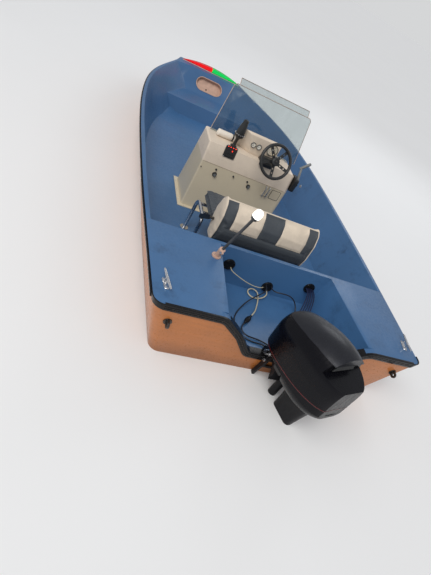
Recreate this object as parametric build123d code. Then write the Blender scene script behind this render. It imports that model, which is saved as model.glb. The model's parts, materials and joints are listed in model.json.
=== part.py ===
from build123d import *
import os
from math import atan, cos, degrees, pi, radians, sin, tan

# Open outboard motorboat, afloat. Millimetres. +X forward, +Y port, +Z up.
# The origin is on the centreline at the waterline, below the transom's top edge.

# Hull
HULL_LENGTH = 4340.0
FREEBOARD = 420.0
TRANSOM_RAKE = 7.5
BOW_RAKE = 42.0
SKIN = 6.0
GAP = 0.3
GUNWALE_WIDTH = 28.0
CORNER_RADIUS = 60.0
DECK_FLANGE = 8.0
SOLE_Z = 40.0
BULKHEAD_X = 690.0
BULKHEAD_THICKNESS = 30.0
STEP_X = HULL_LENGTH - 770.0
STEP_SLOPE = 25.0
PLATFORM_Z = 200.0
BOW_FACE_FOOT_X = HULL_LENGTH - 340.0
BOW_FACE_TOP_X = HULL_LENGTH - 115.0

# Station x along the gunwale, gunwale half breadth, chine half breadth, chine height, keel height, rake
STATIONS = (
    (0.0, 925.0, 780.0, -40.0, -205.0, TRANSOM_RAKE),
    (HULL_LENGTH * 0.3, 960.0, 800.0, -45.0, -205.0, 0.0),
    (HULL_LENGTH * 0.6, 932.0, 760.0, -25.0, -200.0, 0.0),
    (HULL_LENGTH * 0.783, 800.0, 590.0, 30.0, -160.0, -8.0),
    (HULL_LENGTH * 0.9, 588.0, 393.0, 121.0, -59.0, -24.0),
    (HULL_LENGTH, 405.0, 265.0, 250.0, 140.0, -BOW_RAKE),
)
HULL_SPACES = 12
# Breadth of the flat web across each bow corner at the gunwale, and how far down it tapers
BOW_WEB = 185.0
BOW_WEB_DROP = 170.0

# Rub rail and bow pocket
RAIL_HEIGHT = 30.0
RAIL_PROUD = 14.0
POCKET_LENGTH = 350.0
POCKET_HEIGHT = 170.0
POCKET_DEPTH = 50.0
POCKET_Z = 308.0

# Stern well, motor cut-out and transom edging
WELL_FRONT_HALF = 450.0
WELL_AFT_HALF = 500.0
WELL_DRAFT = 30.0
WELL_FLOOR_Z = 130.0
TRANSOM_THICKNESS = 50.0
EDGING_WIDTH = 40.0
EDGING_THICKNESS = 6.0
EDGING_LIP = 4.0
EDGING_OVER_DECK = 12.0
# Half breadth, depth below the gunwale and corner radius of the cut-out's edge
CUTOUT_EDGE = ((505.0, 0.0, 110.0), (356.0, 117.0, 150.0), (235.0, 255.0, 45.0))

# Deck fittings
GLAND_RADIUS = 42.0
GLAND_PROUD = 10.0
# y and z of each cable gland on the well's front wall
GLANDS = ((319.0, 289.0), (-38.0, 196.0), (-343.0, 288.0))
CLEAT_X = 150.0
CLEAT_Y = 858.0
CLEAT_LENGTH = 165.0
CLEAT_HEIGHT = 38.0
CLEAT_TURN = 9.0
EYE_HOLE_RADIUS = 9.0
EYE_THICKNESS = 12.0
BOW_EYE_Z = 262.0
STERN_EYE_Y = 800.0
STERN_EYE_Z = 291.0

# Bow light
BOW_LIGHT_HALF = 392.0
BOW_LIGHT_DEPTH = 62.0
BOW_LIGHT_BULGE = 54.0
BOW_LIGHT_HEIGHT = 48.0
BOW_LIGHT_END_HEIGHT = 8.0
BOW_LIGHT_BASE = 6.0
BOW_LIGHT_X = HULL_LENGTH - 78.0

# Light pole
POLE_FOOT = (518.0, 505.0, FREEBOARD)
POLE_TOP = (450.0, 460.0, 790.0)
POLE_RADIUS = 9.0
LAMP_RADIUS = 26.0
LAMP_HEIGHT = 56.0

# Console, in the lengthwise plane and across
CONSOLE_PORT_Y = 481.0
CONSOLE_STARBOARD_Y = -330.0
CONSOLE_WALL = 8.0
CONSOLE_PORT_ROUND = 14.0
CONSOLE_STARBOARD_ROUND = 42.0
# x and z of the console's corners, from the aft foot round to the front foot
CONSOLE_OUTLINE = ((1630.0, 40.0), (1641.0, 467.0), (1676.0, 620.0), (1943.0, 620.0), (2028.0, 40.0))
CONSOLE_FLANGE = 30.0
CONSOLE_FLANGE_THICKNESS = 6.0
SWITCH_CENTRE = (294.0, 598.0)
SWITCH_SIZE = (100.0, 95.0)
PANEL_THICKNESS = 6.0
# y, z, radius and stand-off of each knob on the console's lower face
KNOBS = (
    (335.0, 393.0, 20.0, 16.0),
    (341.0, 436.0, 8.0, 12.0),
    (182.0, 433.0, 8.0, 12.0),
    (51.0, 434.0, 8.0, 12.0),
    (23.0, 399.0, 18.0, 14.0),
    (465.0, 414.0, 5.0, 6.0),
)
POD_X = 1752.0
POD_SPAN = (-112.0, 236.0)
# x from the pod's aft face and height of its corners
POD_PROFILE = ((0.0, 0.0), (0.0, 150.0), (28.0, 160.0), (90.0, 95.0), (98.0, 0.0))
# x from the pod's aft face, y and height of three points on its port facet
POD_FACET = ((0.0, 178.0, 150.0), (60.0, 236.0, 91.0), (0.0, 118.0, 0.0))
# y, height above the console's top and radius of each gauge
GAUGES = ((118.0, 76.0, 22.0), (66.0, 76.0, 22.0), (-52.0, 94.0, 48.0))
COMPASS_AT = (1758.0, 262.0)
# Radius and height of each corner of the compass
COMPASS_PROFILE = (
    (44.0, 0.0), (44.0, 14.0), (30.0, 26.0), (34.0, 94.0), (50.0, 102.0), (50.0, 120.0),
    (44.0, 130.0), (46.0, 190.0), (32.0, 226.0), (0.0, 236.0),
)
ROLL_RADIUS = 33.0
ROLL_X = 1850.0
ROLL_SPAN = (240.0, 404.0)

# Windscreen
SCREEN_FOOT_X = 1905.0
SCREEN_LEAN = 12.5
SCREEN_HEIGHT = 390.0
SCREEN_PORT_Y = 448.0
SCREEN_STARBOARD_Y = -376.0
SCREEN_TOP_INSET = 45.0
SCREEN_THICKNESS = 5.0
SCREEN_CORNER = 30.0
SCREEN_FLANGE = 56.0
SCREEN_FLANGE_INSET = 40.0
SCREEN_BEND = 22.0

# Steering wheel and throttle
WHEEL_CENTRE = (1530.0, -20.0, 722.0)
WHEEL_TILT = 30.0
WHEEL_RADIUS = 127.0
WHEEL_GRIP = 12.0
WHEEL_SPOKES = 5
WHEEL_HUB_DEPTH = 39.0
COLUMN_RADIUS = 14.0
COLUMN_REACH = 150.0
# x and height above the console's top of the helm's corners
HELM_OUTLINE = ((1740.0, 0.0), (1724.0, 44.0), (1662.0, 50.0), (1632.0, 10.0), (1642.0, -18.0))
HELM_HALF = 52.0
THROTTLE_PIVOT = (1697.0, 546.0)
THROTTLE_BOX = (110.0, 36.0, 120.0)
THROTTLE_REACH = 144.0
THROTTLE_LEAN = 29.0
# The throttle's grip, from the lever's top to its starboard end
THROTTLE_GRIP = (2.0, -52.0, 56.0)

# Seat
SEAT_PORT_Y = 460.0
SEAT_STARBOARD_Y = -310.0
SEAT_TUBE = 14.0
SEAT_ARM_CLEAR = 18.0
CUSHION_X = (1026.0, 1336.0)
CUSHION_Z = (336.0, 414.0)
# x and z of the backrest's outline, from its aft foot over the top to its front foot
BACK_OUTLINE = (
    (846.0, 296.0), (826.0, 392.0), (836.0, 512.0), (872.0, 588.0), (928.0, 627.0),
    (984.0, 572.0), (1014.0, 476.0), (1000.0, 400.0), (952.0, 296.0),
)
BACK_ROUND = 18.0

# Outboard, about its swivel axis
SWIVEL_X = -88.0
STEER_AT_REST = 17.0
TILT_AXIS = (10.0, 230.0)
TILT_TUBE_RADIUS = 16.0
TILT_TUBE_HALF = 165.0
BRACKET_Y = 105.0
BRACKET_THICKNESS = 14.0
BRACKET_DROP = 240.0
BRACKET_HOOK = 26.0
SWIVEL_RADIUS = 27.0
PIVOT_RADIUS = 15.0
SWIVEL_Z = (-90.0, 205.0)
COWL_Z = 300.0
COWL_WALL = 5.0
# x, half widths at the seam, the waist and the crease, then crease height, crown height and the pan's foot
COWL_STATIONS = (
    (212.0, 84.0, 92.0, 62.0, 500.0, 512.0, 286.0),
    (190.0, 120.0, 130.0, 88.0, 514.0, 534.0, 274.0),
    (130.0, 156.0, 164.0, 114.0, 532.0, 566.0, 250.0),
    (30.0, 174.0, 182.0, 133.0, 557.0, 602.0, 222.0),
    (-80.0, 178.0, 185.0, 133.0, 576.0, 628.0, 206.0),
    (-200.0, 164.0, 170.0, 113.0, 584.0, 628.0, 206.0),
    (-290.0, 128.0, 132.0, 84.0, 566.0, 600.0, 240.0),
    (-330.0, 88.0, 90.0, 58.0, 540.0, 562.0, 272.0),
)
COWL_WAIST_Z = 430.0
LID_END_X = -212.0
LID_RIM = 5.0
# Depth below the lid's rear corner of the shelf behind it, its slope and how far the lid overhangs it
SHELF_DROP = 62.0
SHELF_SLOPE = 14.0
SHELF_RECESS = 16.0
ENGINE_SIZE = (320.0, 200.0, 190.0)
PAN_Z = 229.7
PLATE_Z = -232.0
PROP_Z = -395.0
PROP_RADIUS = 148.0
PROP_PITCH = 330.0
PROP_BLADES = 3
PROP_HUB_RADIUS = 40.0
GEARCASE_RADIUS = 46.0
GEARCASE_ENDS = (60.0, -330.0)
SKEG_Z = -575.0

# Cables and hoses in the stern well
CABLE_RADIUS = 4.5
WIRE_RADIUS = 3.0
CLAMP_X = (100.0, 124.0)
CLAMP_SPAN = (-110.0, 62.0)
CLAMP_HEIGHT = 17.0
CONTROL_CABLES = 5
CABLE_PITCH = 14.0
# x, y of the middle control cable, how far apart the cables lie there, and z
CONTROL_ROUTE = (
    (649.0, -343.0, 1.0, 288.0), (612.0, -343.0, 1.0, 288.0), (566.0, -330.0, 1.1, 280.0), (505.0, -304.0, 1.25, 257.0),
    (438.0, -266.0, 1.4, 226.0), (370.0, -224.0, 1.3, 192.0), (302.0, -182.0, 1.15, 162.0), (235.0, -138.0, 1.0, 143.0),
    (180.0, -104.0, 0.85, 138.0), (145.0, -88.0, 0.8, 138.0), (124.6, -88.0, 0.8, 138.0),
)
BATTERY_ROUTES = (
    (
        (649.0, -16.0, 214.0), (612.0, -16.0, 214.0), (576.0, 8.0, 212.0), (547.0, 48.0, 200.0),
        (520.0, 96.0, 181.0), (484.0, 148.0, 158.0), (436.0, 194.0, 142.0), (380.0, 236.0, 136.0),
        (318.0, 264.0, 135.0), (258.0, 268.0, 135.0), (208.0, 246.0, 135.0), (174.0, 208.0, 135.0),
        (158.0, 164.0, 135.0), (155.0, 120.0, 136.0), (147.0, 82.0, 138.0), (128.0, 57.0, 138.0),
    ),
    (
        (649.0, -60.0, 213.0), (620.0, -60.0, 213.0), (594.0, -74.0, 220.0), (580.0, -106.0, 231.0),
        (575.0, -148.0, 238.0), (572.0, -190.0, 234.0), (564.0, -228.0, 216.0), (544.0, -254.0, 188.0),
        (510.0, -258.0, 160.0), (466.0, -242.0, 142.0), (410.0, -208.0, 136.0), (350.0, -164.0, 135.0),
        (290.0, -116.0, 135.0), (236.0, -72.0, 135.0), (186.0, -36.0, 136.0), (156.0, -20.0, 138.0),
        (124.3, -20.0, 138.0),
    ),
)
FUEL_ROUTE_TO_BULB = (
    (649.0, -42.0, 172.0), (622.0, -42.0, 172.0), (595.0, -32.0, 166.0), (575.0, -6.0, 155.0),
    (567.0, 28.0, 144.0), (569.0, 62.0, 138.0), (583.0, 93.0, 139.0), (612.0, 106.0, 144.0),
    (639.0, 89.0, 150.0), (645.0, 56.0, 155.0), (621.0, 31.0, 157.0), (584.0, 29.0, 153.0),
    (534.0, 40.0, 147.0), (470.0, 64.0, 141.0), (416.0, 92.0, 145.0), (370.5, 130.8, 148.4),
)
FUEL_ROUTE_FROM_BULB = (
    (291.5, 199.2, 148.4), (268.0, 219.0, 148.0), (239.0, 230.0, 145.0), (210.0, 218.0, 141.0),
    (194.0, 186.0, 138.0), (190.0, 146.0, 137.0), (183.0, 104.0, 137.0), (167.0, 66.0, 138.0),
    (149.0, 40.0, 138.0), (127.1, 24.5, 138.0),
)
WIRE_ROUTE = (
    (649.0, 300.0, 274.0), (635.0, 300.0, 273.0), (623.0, 293.0, 269.0), (616.0, 274.0, 262.0),
    (613.0, 242.0, 250.0), (612.0, 200.0, 234.0), (612.0, 156.0, 219.0), (614.0, 112.0, 207.0),
    (619.0, 70.0, 198.0), (627.0, 32.0, 193.0), (636.0, 9.0, 191.0), (647.2, -6.0, 190.0),
)
BULB_RADIUS = 18.0

FAR = 3000.0


def block(x0, x1, y0, y1, z0, z1):
    centre = Pos((x0 + x1) / 2, (y0 + y1) / 2, (z0 + z1) / 2)
    return centre * Box(x1 - x0, y1 - y0, z1 - z0)


def prism(points, y0, y1):
    """A solid with a lengthwise outline of (x, z) points."""
    face = Face(Wire.make_polygon([(x, y0, z) for x, z in points]))
    return Solid.extrude(face, Vector(0, y1 - y0, 0))


def rod(start, end, radius):
    line = Vector(end) - Vector(start)
    return Solid.make_cylinder(radius, line.length, Plane(origin=start, z_dir=line))


def bent_rod(points, radii, radius):
    path = FilletPolyline(*points, radius=radii)
    plane = Plane(origin=path @ 0, z_dir=path % 0)
    return sweep(plane * Circle(radius), path=path)


def pair(shape):
    return Compound([shape, shape.mirror(Plane.XZ)])


def column_slope(column, row):
    low = STATIONS[max(row - 1, 0)]
    high = STATIONS[min(row + 1, len(STATIONS) - 1)]
    return (high[column] - low[column]) / (high[0] - low[0])


def faired(column, x):
    """A column of the station table as a smooth curve along the hull."""
    row = max(k for k in range(len(STATIONS) - 1) if STATIONS[k][0] <= x)
    a, b = STATIONS[row], STATIONS[row + 1]
    span = b[0] - a[0]
    t = (x - a[0]) / span
    ends = (1 + 2 * t) * (1 - t) ** 2 * a[column] + t * t * (3 - 2 * t) * b[column]
    bends = (1 - t) * column_slope(column, row) - t * column_slope(column, row + 1)
    return ends + t * (1 - t) * span * bends


def hull_stations():
    places = [HULL_LENGTH * k / HULL_SPACES for k in range(HULL_SPACES + 1)]
    return [(x,) + tuple(faired(column, x) for column in range(1, 6)) for x in places]


def rake_x(station, z):
    return station[0] + (FREEBOARD - z) * tan(radians(station[5]))


def hull_section(station, grow, top_z):
    gunwale, chine, chine_z, keel_z = station[1:5]
    flare = (gunwale - chine) / (FREEBOARD - chine_z)
    half_top = gunwale + flare * (top_z - FREEBOARD) + grow
    corners = ((half_top, top_z), (chine + grow, chine_z - 0.2 * grow), (0.0, keel_z - grow))
    points = list(corners) + [(-y, z) for y, z in reversed(corners[:2])]
    return Wire.make_polygon([(rake_x(station, z), y, z) for y, z in points])


def hull_form(grow=0.0, top_z=FREEBOARD):
    """The hull's body between its stations, offset by grow and drawn up to top_z."""
    table = hull_stations()
    table[0] = (table[0][0] - grow,) + table[0][1:]
    table[-1] = (table[-1][0] + grow,) + table[-1][1:]
    form = Solid.make_loft([hull_section(station, grow, top_z) for station in table])
    aft = [edge for edge in form.edges() if edge.center().X < CORNER_RADIUS and edge.center().Y ** 2 > 500 ** 2]
    corners = [edge for edge in aft if abs(edge.center().Z) < top_z - 100]
    return fillet(corners, CORNER_RADIUS + grow)


def transom_plane(aft=0.0):
    """Plane of the transom's outer face, with local x to starboard and y up along it."""
    normal = Vector(-cos(radians(TRANSOM_RAKE)), 0, -sin(radians(TRANSOM_RAKE)))
    return Plane(origin=Vector(0, 0, FREEBOARD) + normal * aft, x_dir=(0, -1, 0), z_dir=normal)


def transom_face(grow=0.0):
    """The transom below its top edge and cut-out, wider than the hull, offset by grow."""
    edge = [(-y, -z) for y, z, r in CUTOUT_EDGE]
    edge += [(-y, z) for y, z in reversed(edge)]
    radii = [r for y, z, r in CUTOUT_EDGE]
    wide = 1200.0
    path = FilletPolyline((-wide, 0), *edge, (wide, 0), radius=radii + radii[::-1])
    close = Polyline((wide, 0), (wide, -700), (-wide, -700), (-wide, 0))
    face = make_face(path.edges() + close.edges())
    return offset(face, amount=grow) if grow else face


def transom_x(z):
    """x of the transom's outer face at height z."""
    return (FREEBOARD - z) * tan(radians(TRANSOM_RAKE))


def cutout():
    opening = Rectangle(2200, 1000) - transom_face()
    start = Pos(-TRANSOM_THICKNESS, 0, 0) * (transom_plane() * opening)
    return extrude(start, amount=2 * TRANSOM_THICKNESS + GAP, dir=(1, 0, 0))


def transom_outline():
    """The hull's outline on the transom's plane, carried on above the gunwale."""
    gunwale, chine, chine_z = STATIONS[0][1:4]
    drop = (chine_z - FREEBOARD) / cos(radians(TRANSOM_RAKE))
    half = [(gunwale, 40), (gunwale, 0), (chine, drop)]
    return make_face(Polyline(*half, *[(-x, y) for x, y in reversed(half)], close=True).edges())


def build_hull_skin():
    skin = hull_form() - hull_form(-SKIN)
    skin -= block(-FAR, 2 * FAR, -FAR, FAR, FREEBOARD - DECK_FLANGE, FAR)
    return skin - cutout()


def moulding_body():
    """Everything inside the skin, with a flange that covers the skin's top edge."""
    seam_z = FREEBOARD - DECK_FLANGE + GAP
    body = hull_form(-SKIN - GAP) - block(-FAR, 2 * FAR, -FAR, FAR, seam_z, FAR)
    flange = hull_form() & block(-FAR, 2 * FAR, -FAR, FAR, seam_z, FREEBOARD)
    return body + flange


def cockpit_space():
    above = FREEBOARD + 40
    outline = (
        (BULKHEAD_X - 100, above),
        (BULKHEAD_X - 100, SOLE_Z),
        (STEP_X, SOLE_Z),
        (STEP_X + STEP_SLOPE, PLATFORM_Z),
        (BOW_FACE_FOOT_X, PLATFORM_Z),
        (BOW_FACE_TOP_X, above),
    )
    return hull_form(-GUNWALE_WIDTH, above) & prism(outline, -FAR, FAR)


def bow_face_plane(deep=0.0):
    slope = Vector(BOW_FACE_TOP_X - BOW_FACE_FOOT_X, 0, FREEBOARD + 40 - PLATFORM_Z).normalized()
    normal = Vector(-slope.Z, 0, slope.X)
    at = (POCKET_Z - PLATFORM_Z) / slope.Z
    origin = Vector(BOW_FACE_FOOT_X, 0, PLATFORM_Z) + slope * at - normal * deep
    return Plane(origin=origin, x_dir=(0, -1, 0), z_dir=normal)


def tetrahedron(a, b, c, d):
    faces = [Face(Wire.make_polygon(points)) for points in ((a, b, c), (a, b, d), (b, c, d), (c, a, d))]
    return Solid(Shell(faces))


def bow_webs():
    """Flat webs across the corners between the cockpit's sides and its bow face."""
    slope = (BOW_FACE_TOP_X - BOW_FACE_FOOT_X) / (FREEBOARD + 40 - PLATFORM_Z)
    top_x = BOW_FACE_FOOT_X + slope * (FREEBOARD - PLATFORM_Z)
    aft_x = top_x - BOW_WEB / 2
    side = faired(1, top_x) - GUNWALE_WIDTH
    flare = (faired(1, top_x) - faired(2, top_x)) / (FREEBOARD - faired(3, top_x))
    web = tetrahedron(
        (aft_x, faired(1, aft_x) - GUNWALE_WIDTH + 6, FREEBOARD),
        (top_x + 6, side - BOW_WEB, FREEBOARD),
        (top_x + 40, side + 20, FREEBOARD),
        (top_x - slope * BOW_WEB_DROP + 8, side - flare * BOW_WEB_DROP + 8, FREEBOARD - BOW_WEB_DROP),
    )
    return web + web.mirror(Plane.XZ)


def build_cockpit_liner(body):
    liner = body & block(BULKHEAD_X + GAP, FAR + HULL_LENGTH, -FAR, FAR, -FAR, FAR)
    liner -= cockpit_space()
    liner += bow_webs() & body
    mouth = bow_face_plane(POCKET_DEPTH) * SlotOverall(POCKET_LENGTH, POCKET_HEIGHT)
    return liner - extrude(mouth, amount=POCKET_DEPTH + 20)


def build_pocket_tray():
    outer = bow_face_plane(POCKET_DEPTH - GAP)
    rim = SlotOverall(POCKET_LENGTH - 2 * GAP, POCKET_HEIGHT - 2 * GAP)
    tray = extrude(outer * rim, amount=POCKET_DEPTH + 3)
    hollow = bow_face_plane(POCKET_DEPTH - 6) * SlotOverall(POCKET_LENGTH - 14, POCKET_HEIGHT - 14)
    return tray - extrude(hollow, amount=POCKET_DEPTH + 20)


def well_space():
    front = BULKHEAD_X - BULKHEAD_THICKNESS
    levels = []
    for z, inset in ((WELL_FLOOR_Z, WELL_DRAFT), (FREEBOARD + 20, 0.0)):
        aft = TRANSOM_THICKNESS + (FREEBOARD - z) * tan(radians(TRANSOM_RAKE))
        corners = (
            (aft, WELL_AFT_HALF - inset),
            (front, WELL_FRONT_HALF - inset),
            (front, inset - WELL_FRONT_HALF),
            (aft, inset - WELL_AFT_HALF),
        )
        levels.append(Wire.make_polygon([(x, y, z) for x, y in corners]))
    return Solid.make_loft(levels, ruled=True)


def build_aft_deck(body):
    deck = body & block(-FAR, BULKHEAD_X, -FAR, FAR, -FAR, FAR)
    return deck - well_space() - cutout()


def corner_end():
    """x at which the edging round the aft corners ends and the rub rail begins."""
    return CORNER_RADIUS + RAIL_PROUD


def build_transom_edging():
    flat = STATIONS[0][1] - CORNER_RADIUS
    outline = transom_outline() & Rectangle(2 * flat, 1200)
    cover = (transom_face(EDGING_LIP) - transom_face(-EDGING_WIDTH)) & outline
    lip = (transom_face(EDGING_LIP) - transom_face()) & outline
    middle = Rectangle(2 * (CUTOUT_EDGE[0][0] - 30), 1200)
    edging = extrude(transom_plane() * cover, amount=EDGING_THICKNESS)
    edging += extrude(transom_plane() * (lip & middle), amount=TRANSOM_THICKNESS, dir=(1, 0, 0))
    edging += extrude(transom_plane() * (lip - middle), amount=EDGING_OVER_DECK, dir=(1, 0, 0))
    top = FREEBOARD + EDGING_LIP
    low = FREEBOARD - EDGING_WIDTH * cos(radians(TRANSOM_RAKE))
    round_corner = hull_form(EDGING_THICKNESS / cos(radians(TRANSOM_RAKE)), top) - hull_form(0.0, top)
    return edging + (round_corner & pair(block(-FAR, corner_end(), flat, FAR, low, top)))


def build_rub_rail():
    low = FREEBOARD - DECK_FLANGE - RAIL_HEIGHT
    level = block(corner_end() + GAP, 2 * FAR, -FAR, FAR, low, low + RAIL_HEIGHT)
    return (hull_form(RAIL_PROUD) & level) - hull_form(GAP)


def build_glands():
    front = BULKHEAD_X - BULKHEAD_THICKNESS
    glands = []
    for y, z in GLANDS:
        plate = rod((front, y, z), (front - GLAND_PROUD, y, z), GLAND_RADIUS)
        glands.append(fillet(plate.edges().group_by(Axis.X)[0], 4))
    return Compound(glands)


def build_cleats():
    deck = FREEBOARD
    cleat = rod((-CLEAT_LENGTH / 2, 0, CLEAT_HEIGHT), (CLEAT_LENGTH / 2, 0, CLEAT_HEIGHT), 7)
    for x in (-26.0, 26.0):
        cleat += rod((x, 0, 4), (x, 0, CLEAT_HEIGHT), 8)
    cleat += block(-44, 44, -15, 15, 0, 6)
    return pair(Pos(CLEAT_X, CLEAT_Y, deck) * Rot(0, 0, CLEAT_TURN) * cleat)


def eye_lug(reach):
    """A lug on a round plate, its base on the plane z = 0 and its hole along y."""
    plate = Cylinder(24, 6, align=(Align.CENTER, Align.CENTER, Align.MIN))
    lug = Rot(90, 0, 0) * Cylinder(20, EYE_THICKNESS)
    lug = Pos(0, 0, reach) * lug + block(-20, 20, -EYE_THICKNESS / 2, EYE_THICKNESS / 2, 0, reach)
    return plate + lug - Pos(0, 0, reach) * Rot(90, 0, 0) * Cylinder(EYE_HOLE_RADIUS, 4 * EYE_THICKNESS)


def build_bow_eye():
    slope = radians(BOW_RAKE)
    at = Vector(rake_x(STATIONS[-1], BOW_EYE_Z), 0, BOW_EYE_Z)
    normal = Vector(cos(slope), 0, -sin(slope))
    return Plane(origin=at, x_dir=(sin(slope), 0, cos(slope)), z_dir=normal) * eye_lug(26)


def build_stern_eyes():
    lug = Rot(0, 0, 90) * eye_lug(24)
    places = [transom_plane() * Pos(y, STERN_EYE_Z - FREEBOARD, 0) for y in (-STERN_EYE_Y, STERN_EYE_Y)]
    return Compound([(place * lug).solid() for place in places])


def crescent(x, half, depth, bulge, z0, z1):
    front = ThreePointArc((x + depth - bulge, -half), (x + depth, 0), (x + depth - bulge, half))
    back = Polyline((x + depth - bulge, half), (x, half), (x, -half), (x + depth - bulge, -half))
    return extrude(Pos(0, 0, z0) * make_face(front.edges() + back.edges()), amount=z1 - z0)


def build_bow_light_base():
    top = FREEBOARD + BOW_LIGHT_BASE
    return crescent(BOW_LIGHT_X, BOW_LIGHT_HALF, BOW_LIGHT_DEPTH, BOW_LIGHT_BULGE, FREEBOARD, top)


def build_bow_lens(port):
    low = FREEBOARD + BOW_LIGHT_BASE
    top = low + BOW_LIGHT_HEIGHT
    end = low + BOW_LIGHT_END_HEIGHT
    half = BOW_LIGHT_HALF - 8
    body = crescent(BOW_LIGHT_X + 3, half, BOW_LIGHT_DEPTH - 6, BOW_LIGHT_BULGE - 4, low, top)
    crown = ThreePointArc((-half, end), (0, top), (half, end))
    under = Polyline((half, end), (half, low), (-half, low), (-half, end))
    arch = extrude(Plane.YZ * make_face(crown.edges() + under.edges()), amount=2 * FAR)
    side = block(0, 2 * FAR, 2, FAR, 0, FAR) if port else block(0, 2 * FAR, -FAR, -2, 0, FAR)
    return body & arch & side


def build_pole_socket():
    foot = Vector(POLE_FOOT)
    lean = (Vector(POLE_TOP) - foot).normalized()
    socket = Pos(*POLE_FOOT) * Cylinder(30, 8, align=(Align.CENTER, Align.CENTER, Align.MIN))
    socket += rod(foot, foot + lean * 52, 17) & block(-FAR, FAR, -FAR, FAR, FREEBOARD, FAR)
    return socket - rod(foot + lean * 20, foot + lean * 80, POLE_RADIUS + GAP)


def build_light_pole():
    foot = Vector(POLE_FOOT)
    lean = (Vector(POLE_TOP) - foot).normalized()
    pole = rod(foot + lean * (20 + GAP), Vector(POLE_TOP), POLE_RADIUS)
    return pole + rod(Vector(POLE_TOP) - lean * 12, Vector(POLE_TOP), 20)


def build_pole_lamp():
    foot = Vector(POLE_FOOT)
    lean = (Vector(POLE_TOP) - foot).normalized()
    low = Vector(POLE_TOP) + lean * GAP
    lamp = rod(low, low + lean * LAMP_HEIGHT, LAMP_RADIUS)
    return fillet(lamp.edges().sort_by(Axis.Z)[-1], 18)


def console_body(inset):
    face = make_face(Polyline(*CONSOLE_OUTLINE, close=True).edges())
    if inset:
        face = offset(face, amount=-inset, kind=Kind.INTERSECTION)
    plane = Plane(origin=(0, CONSOLE_PORT_Y - inset, 0), x_dir=(1, 0, 0), z_dir=(0, -1, 0))
    body = extrude(plane * face, amount=CONSOLE_PORT_Y - CONSOLE_STARBOARD_Y - 2 * inset)
    low = CONSOLE_OUTLINE[0][1] + inset + 5
    for place, radius in ((0, CONSOLE_STARBOARD_ROUND), (-1, CONSOLE_PORT_ROUND)):
        side = body.faces().sort_by(Axis.Y)[place]
        body = fillet([edge for edge in side.edges() if edge.center().Z > low], radius - inset)
    return body


def build_console():
    body = console_body(0)
    foot = (CONSOLE_OUTLINE[0][0], CONSOLE_OUTLINE[4][0])
    low = SOLE_Z + GAP
    body += block(
        foot[0] - CONSOLE_FLANGE, foot[1] + CONSOLE_FLANGE,
        CONSOLE_STARBOARD_Y - CONSOLE_FLANGE, CONSOLE_PORT_Y + CONSOLE_FLANGE,
        SOLE_Z, low + CONSOLE_FLANGE_THICKNESS,
    )
    hollow = console_body(CONSOLE_WALL) + Pos(0, 0, -30) * console_body(CONSOLE_WALL)
    return (body - hollow) & block(0, FAR, -FAR, FAR, low, FAR)


def face_plane(low, high, y, z, proud=0.0):
    """Plane on the console's aft face between two outline corners, at height z."""
    slope = Vector(high[0] - low[0], 0, high[1] - low[1]).normalized()
    x = low[0] + (z - low[1]) * slope.X / slope.Z
    normal = Vector(-slope.Z, 0, slope.X)
    return Plane(origin=Vector(x, y, z) + normal * proud, x_dir=(0, -1, 0), z_dir=normal)


def build_switch_panel():
    plane = face_plane(CONSOLE_OUTLINE[1], CONSOLE_OUTLINE[2], *SWITCH_CENTRE, proud=GAP)
    plate = extrude(plane * RectangleRounded(*SWITCH_SIZE, 6), amount=PANEL_THICKNESS)
    raised = face_plane(CONSOLE_OUTLINE[1], CONSOLE_OUTLINE[2], *SWITCH_CENTRE, proud=GAP + PANEL_THICKNESS)
    with GridLocations(24, 40, 3, 2) as spots:
        keys = [raised * spot * Rectangle(15, 22) for spot in spots.locations]
    for key in keys:
        plate += extrude(key, amount=4)
    return plate


def build_knobs():
    knobs = []
    for y, z, radius, reach in KNOBS:
        plane = face_plane(CONSOLE_OUTLINE[0], CONSOLE_OUTLINE[1], y, z, proud=GAP)
        knobs.append(extrude(plane * Circle(radius), amount=reach))
    return Compound([knob.solid() for knob in knobs])


def console_top():
    return CONSOLE_OUTLINE[2][1] + GAP


def build_instrument_pod():
    low = console_top()
    pod = prism([(POD_X + x, low + z) for x, z in POD_PROFILE], *POD_SPAN)
    a, b, c = [Vector(POD_X + x, y, low + z) for x, y, z in POD_FACET]
    beyond = Plane(origin=a, x_dir=b - a, z_dir=(b - a).cross(c - a))
    return pod - beyond * Box(FAR, FAR, FAR, align=(Align.CENTER, Align.CENTER, Align.MIN))


def build_gauges():
    gauges = []
    for y, height, radius in GAUGES:
        z = console_top() + height
        ring = rod((POD_X - GAP, y, z), (POD_X - 8, y, z), radius)
        ring -= rod((POD_X - 5, y, z), (POD_X - 9, y, z), radius - 4)
        gauges.append(ring.solid())
    return Compound(gauges)


def build_compass():
    x, y = COMPASS_AT
    profile = make_face(Polyline((0, 0), *COMPASS_PROFILE, close=True).edges())
    return Pos(x, y, console_top()) * revolve(Plane.XZ * profile, Axis.Z)


def build_console_roll():
    z = console_top() + ROLL_RADIUS
    roll = rod((ROLL_X, ROLL_SPAN[0], z), (ROLL_X, ROLL_SPAN[1], z), ROLL_RADIUS)
    return fillet(roll.edges().filter_by(GeomType.CIRCLE), 8)


def screen_plane():
    lean = radians(SCREEN_LEAN)
    low = console_top() + SCREEN_THICKNESS * sin(lean)
    return Plane(origin=(SCREEN_FOOT_X, 0, low), x_dir=(0, -1, 0), z_dir=(-cos(lean), 0, sin(lean)))


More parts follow.
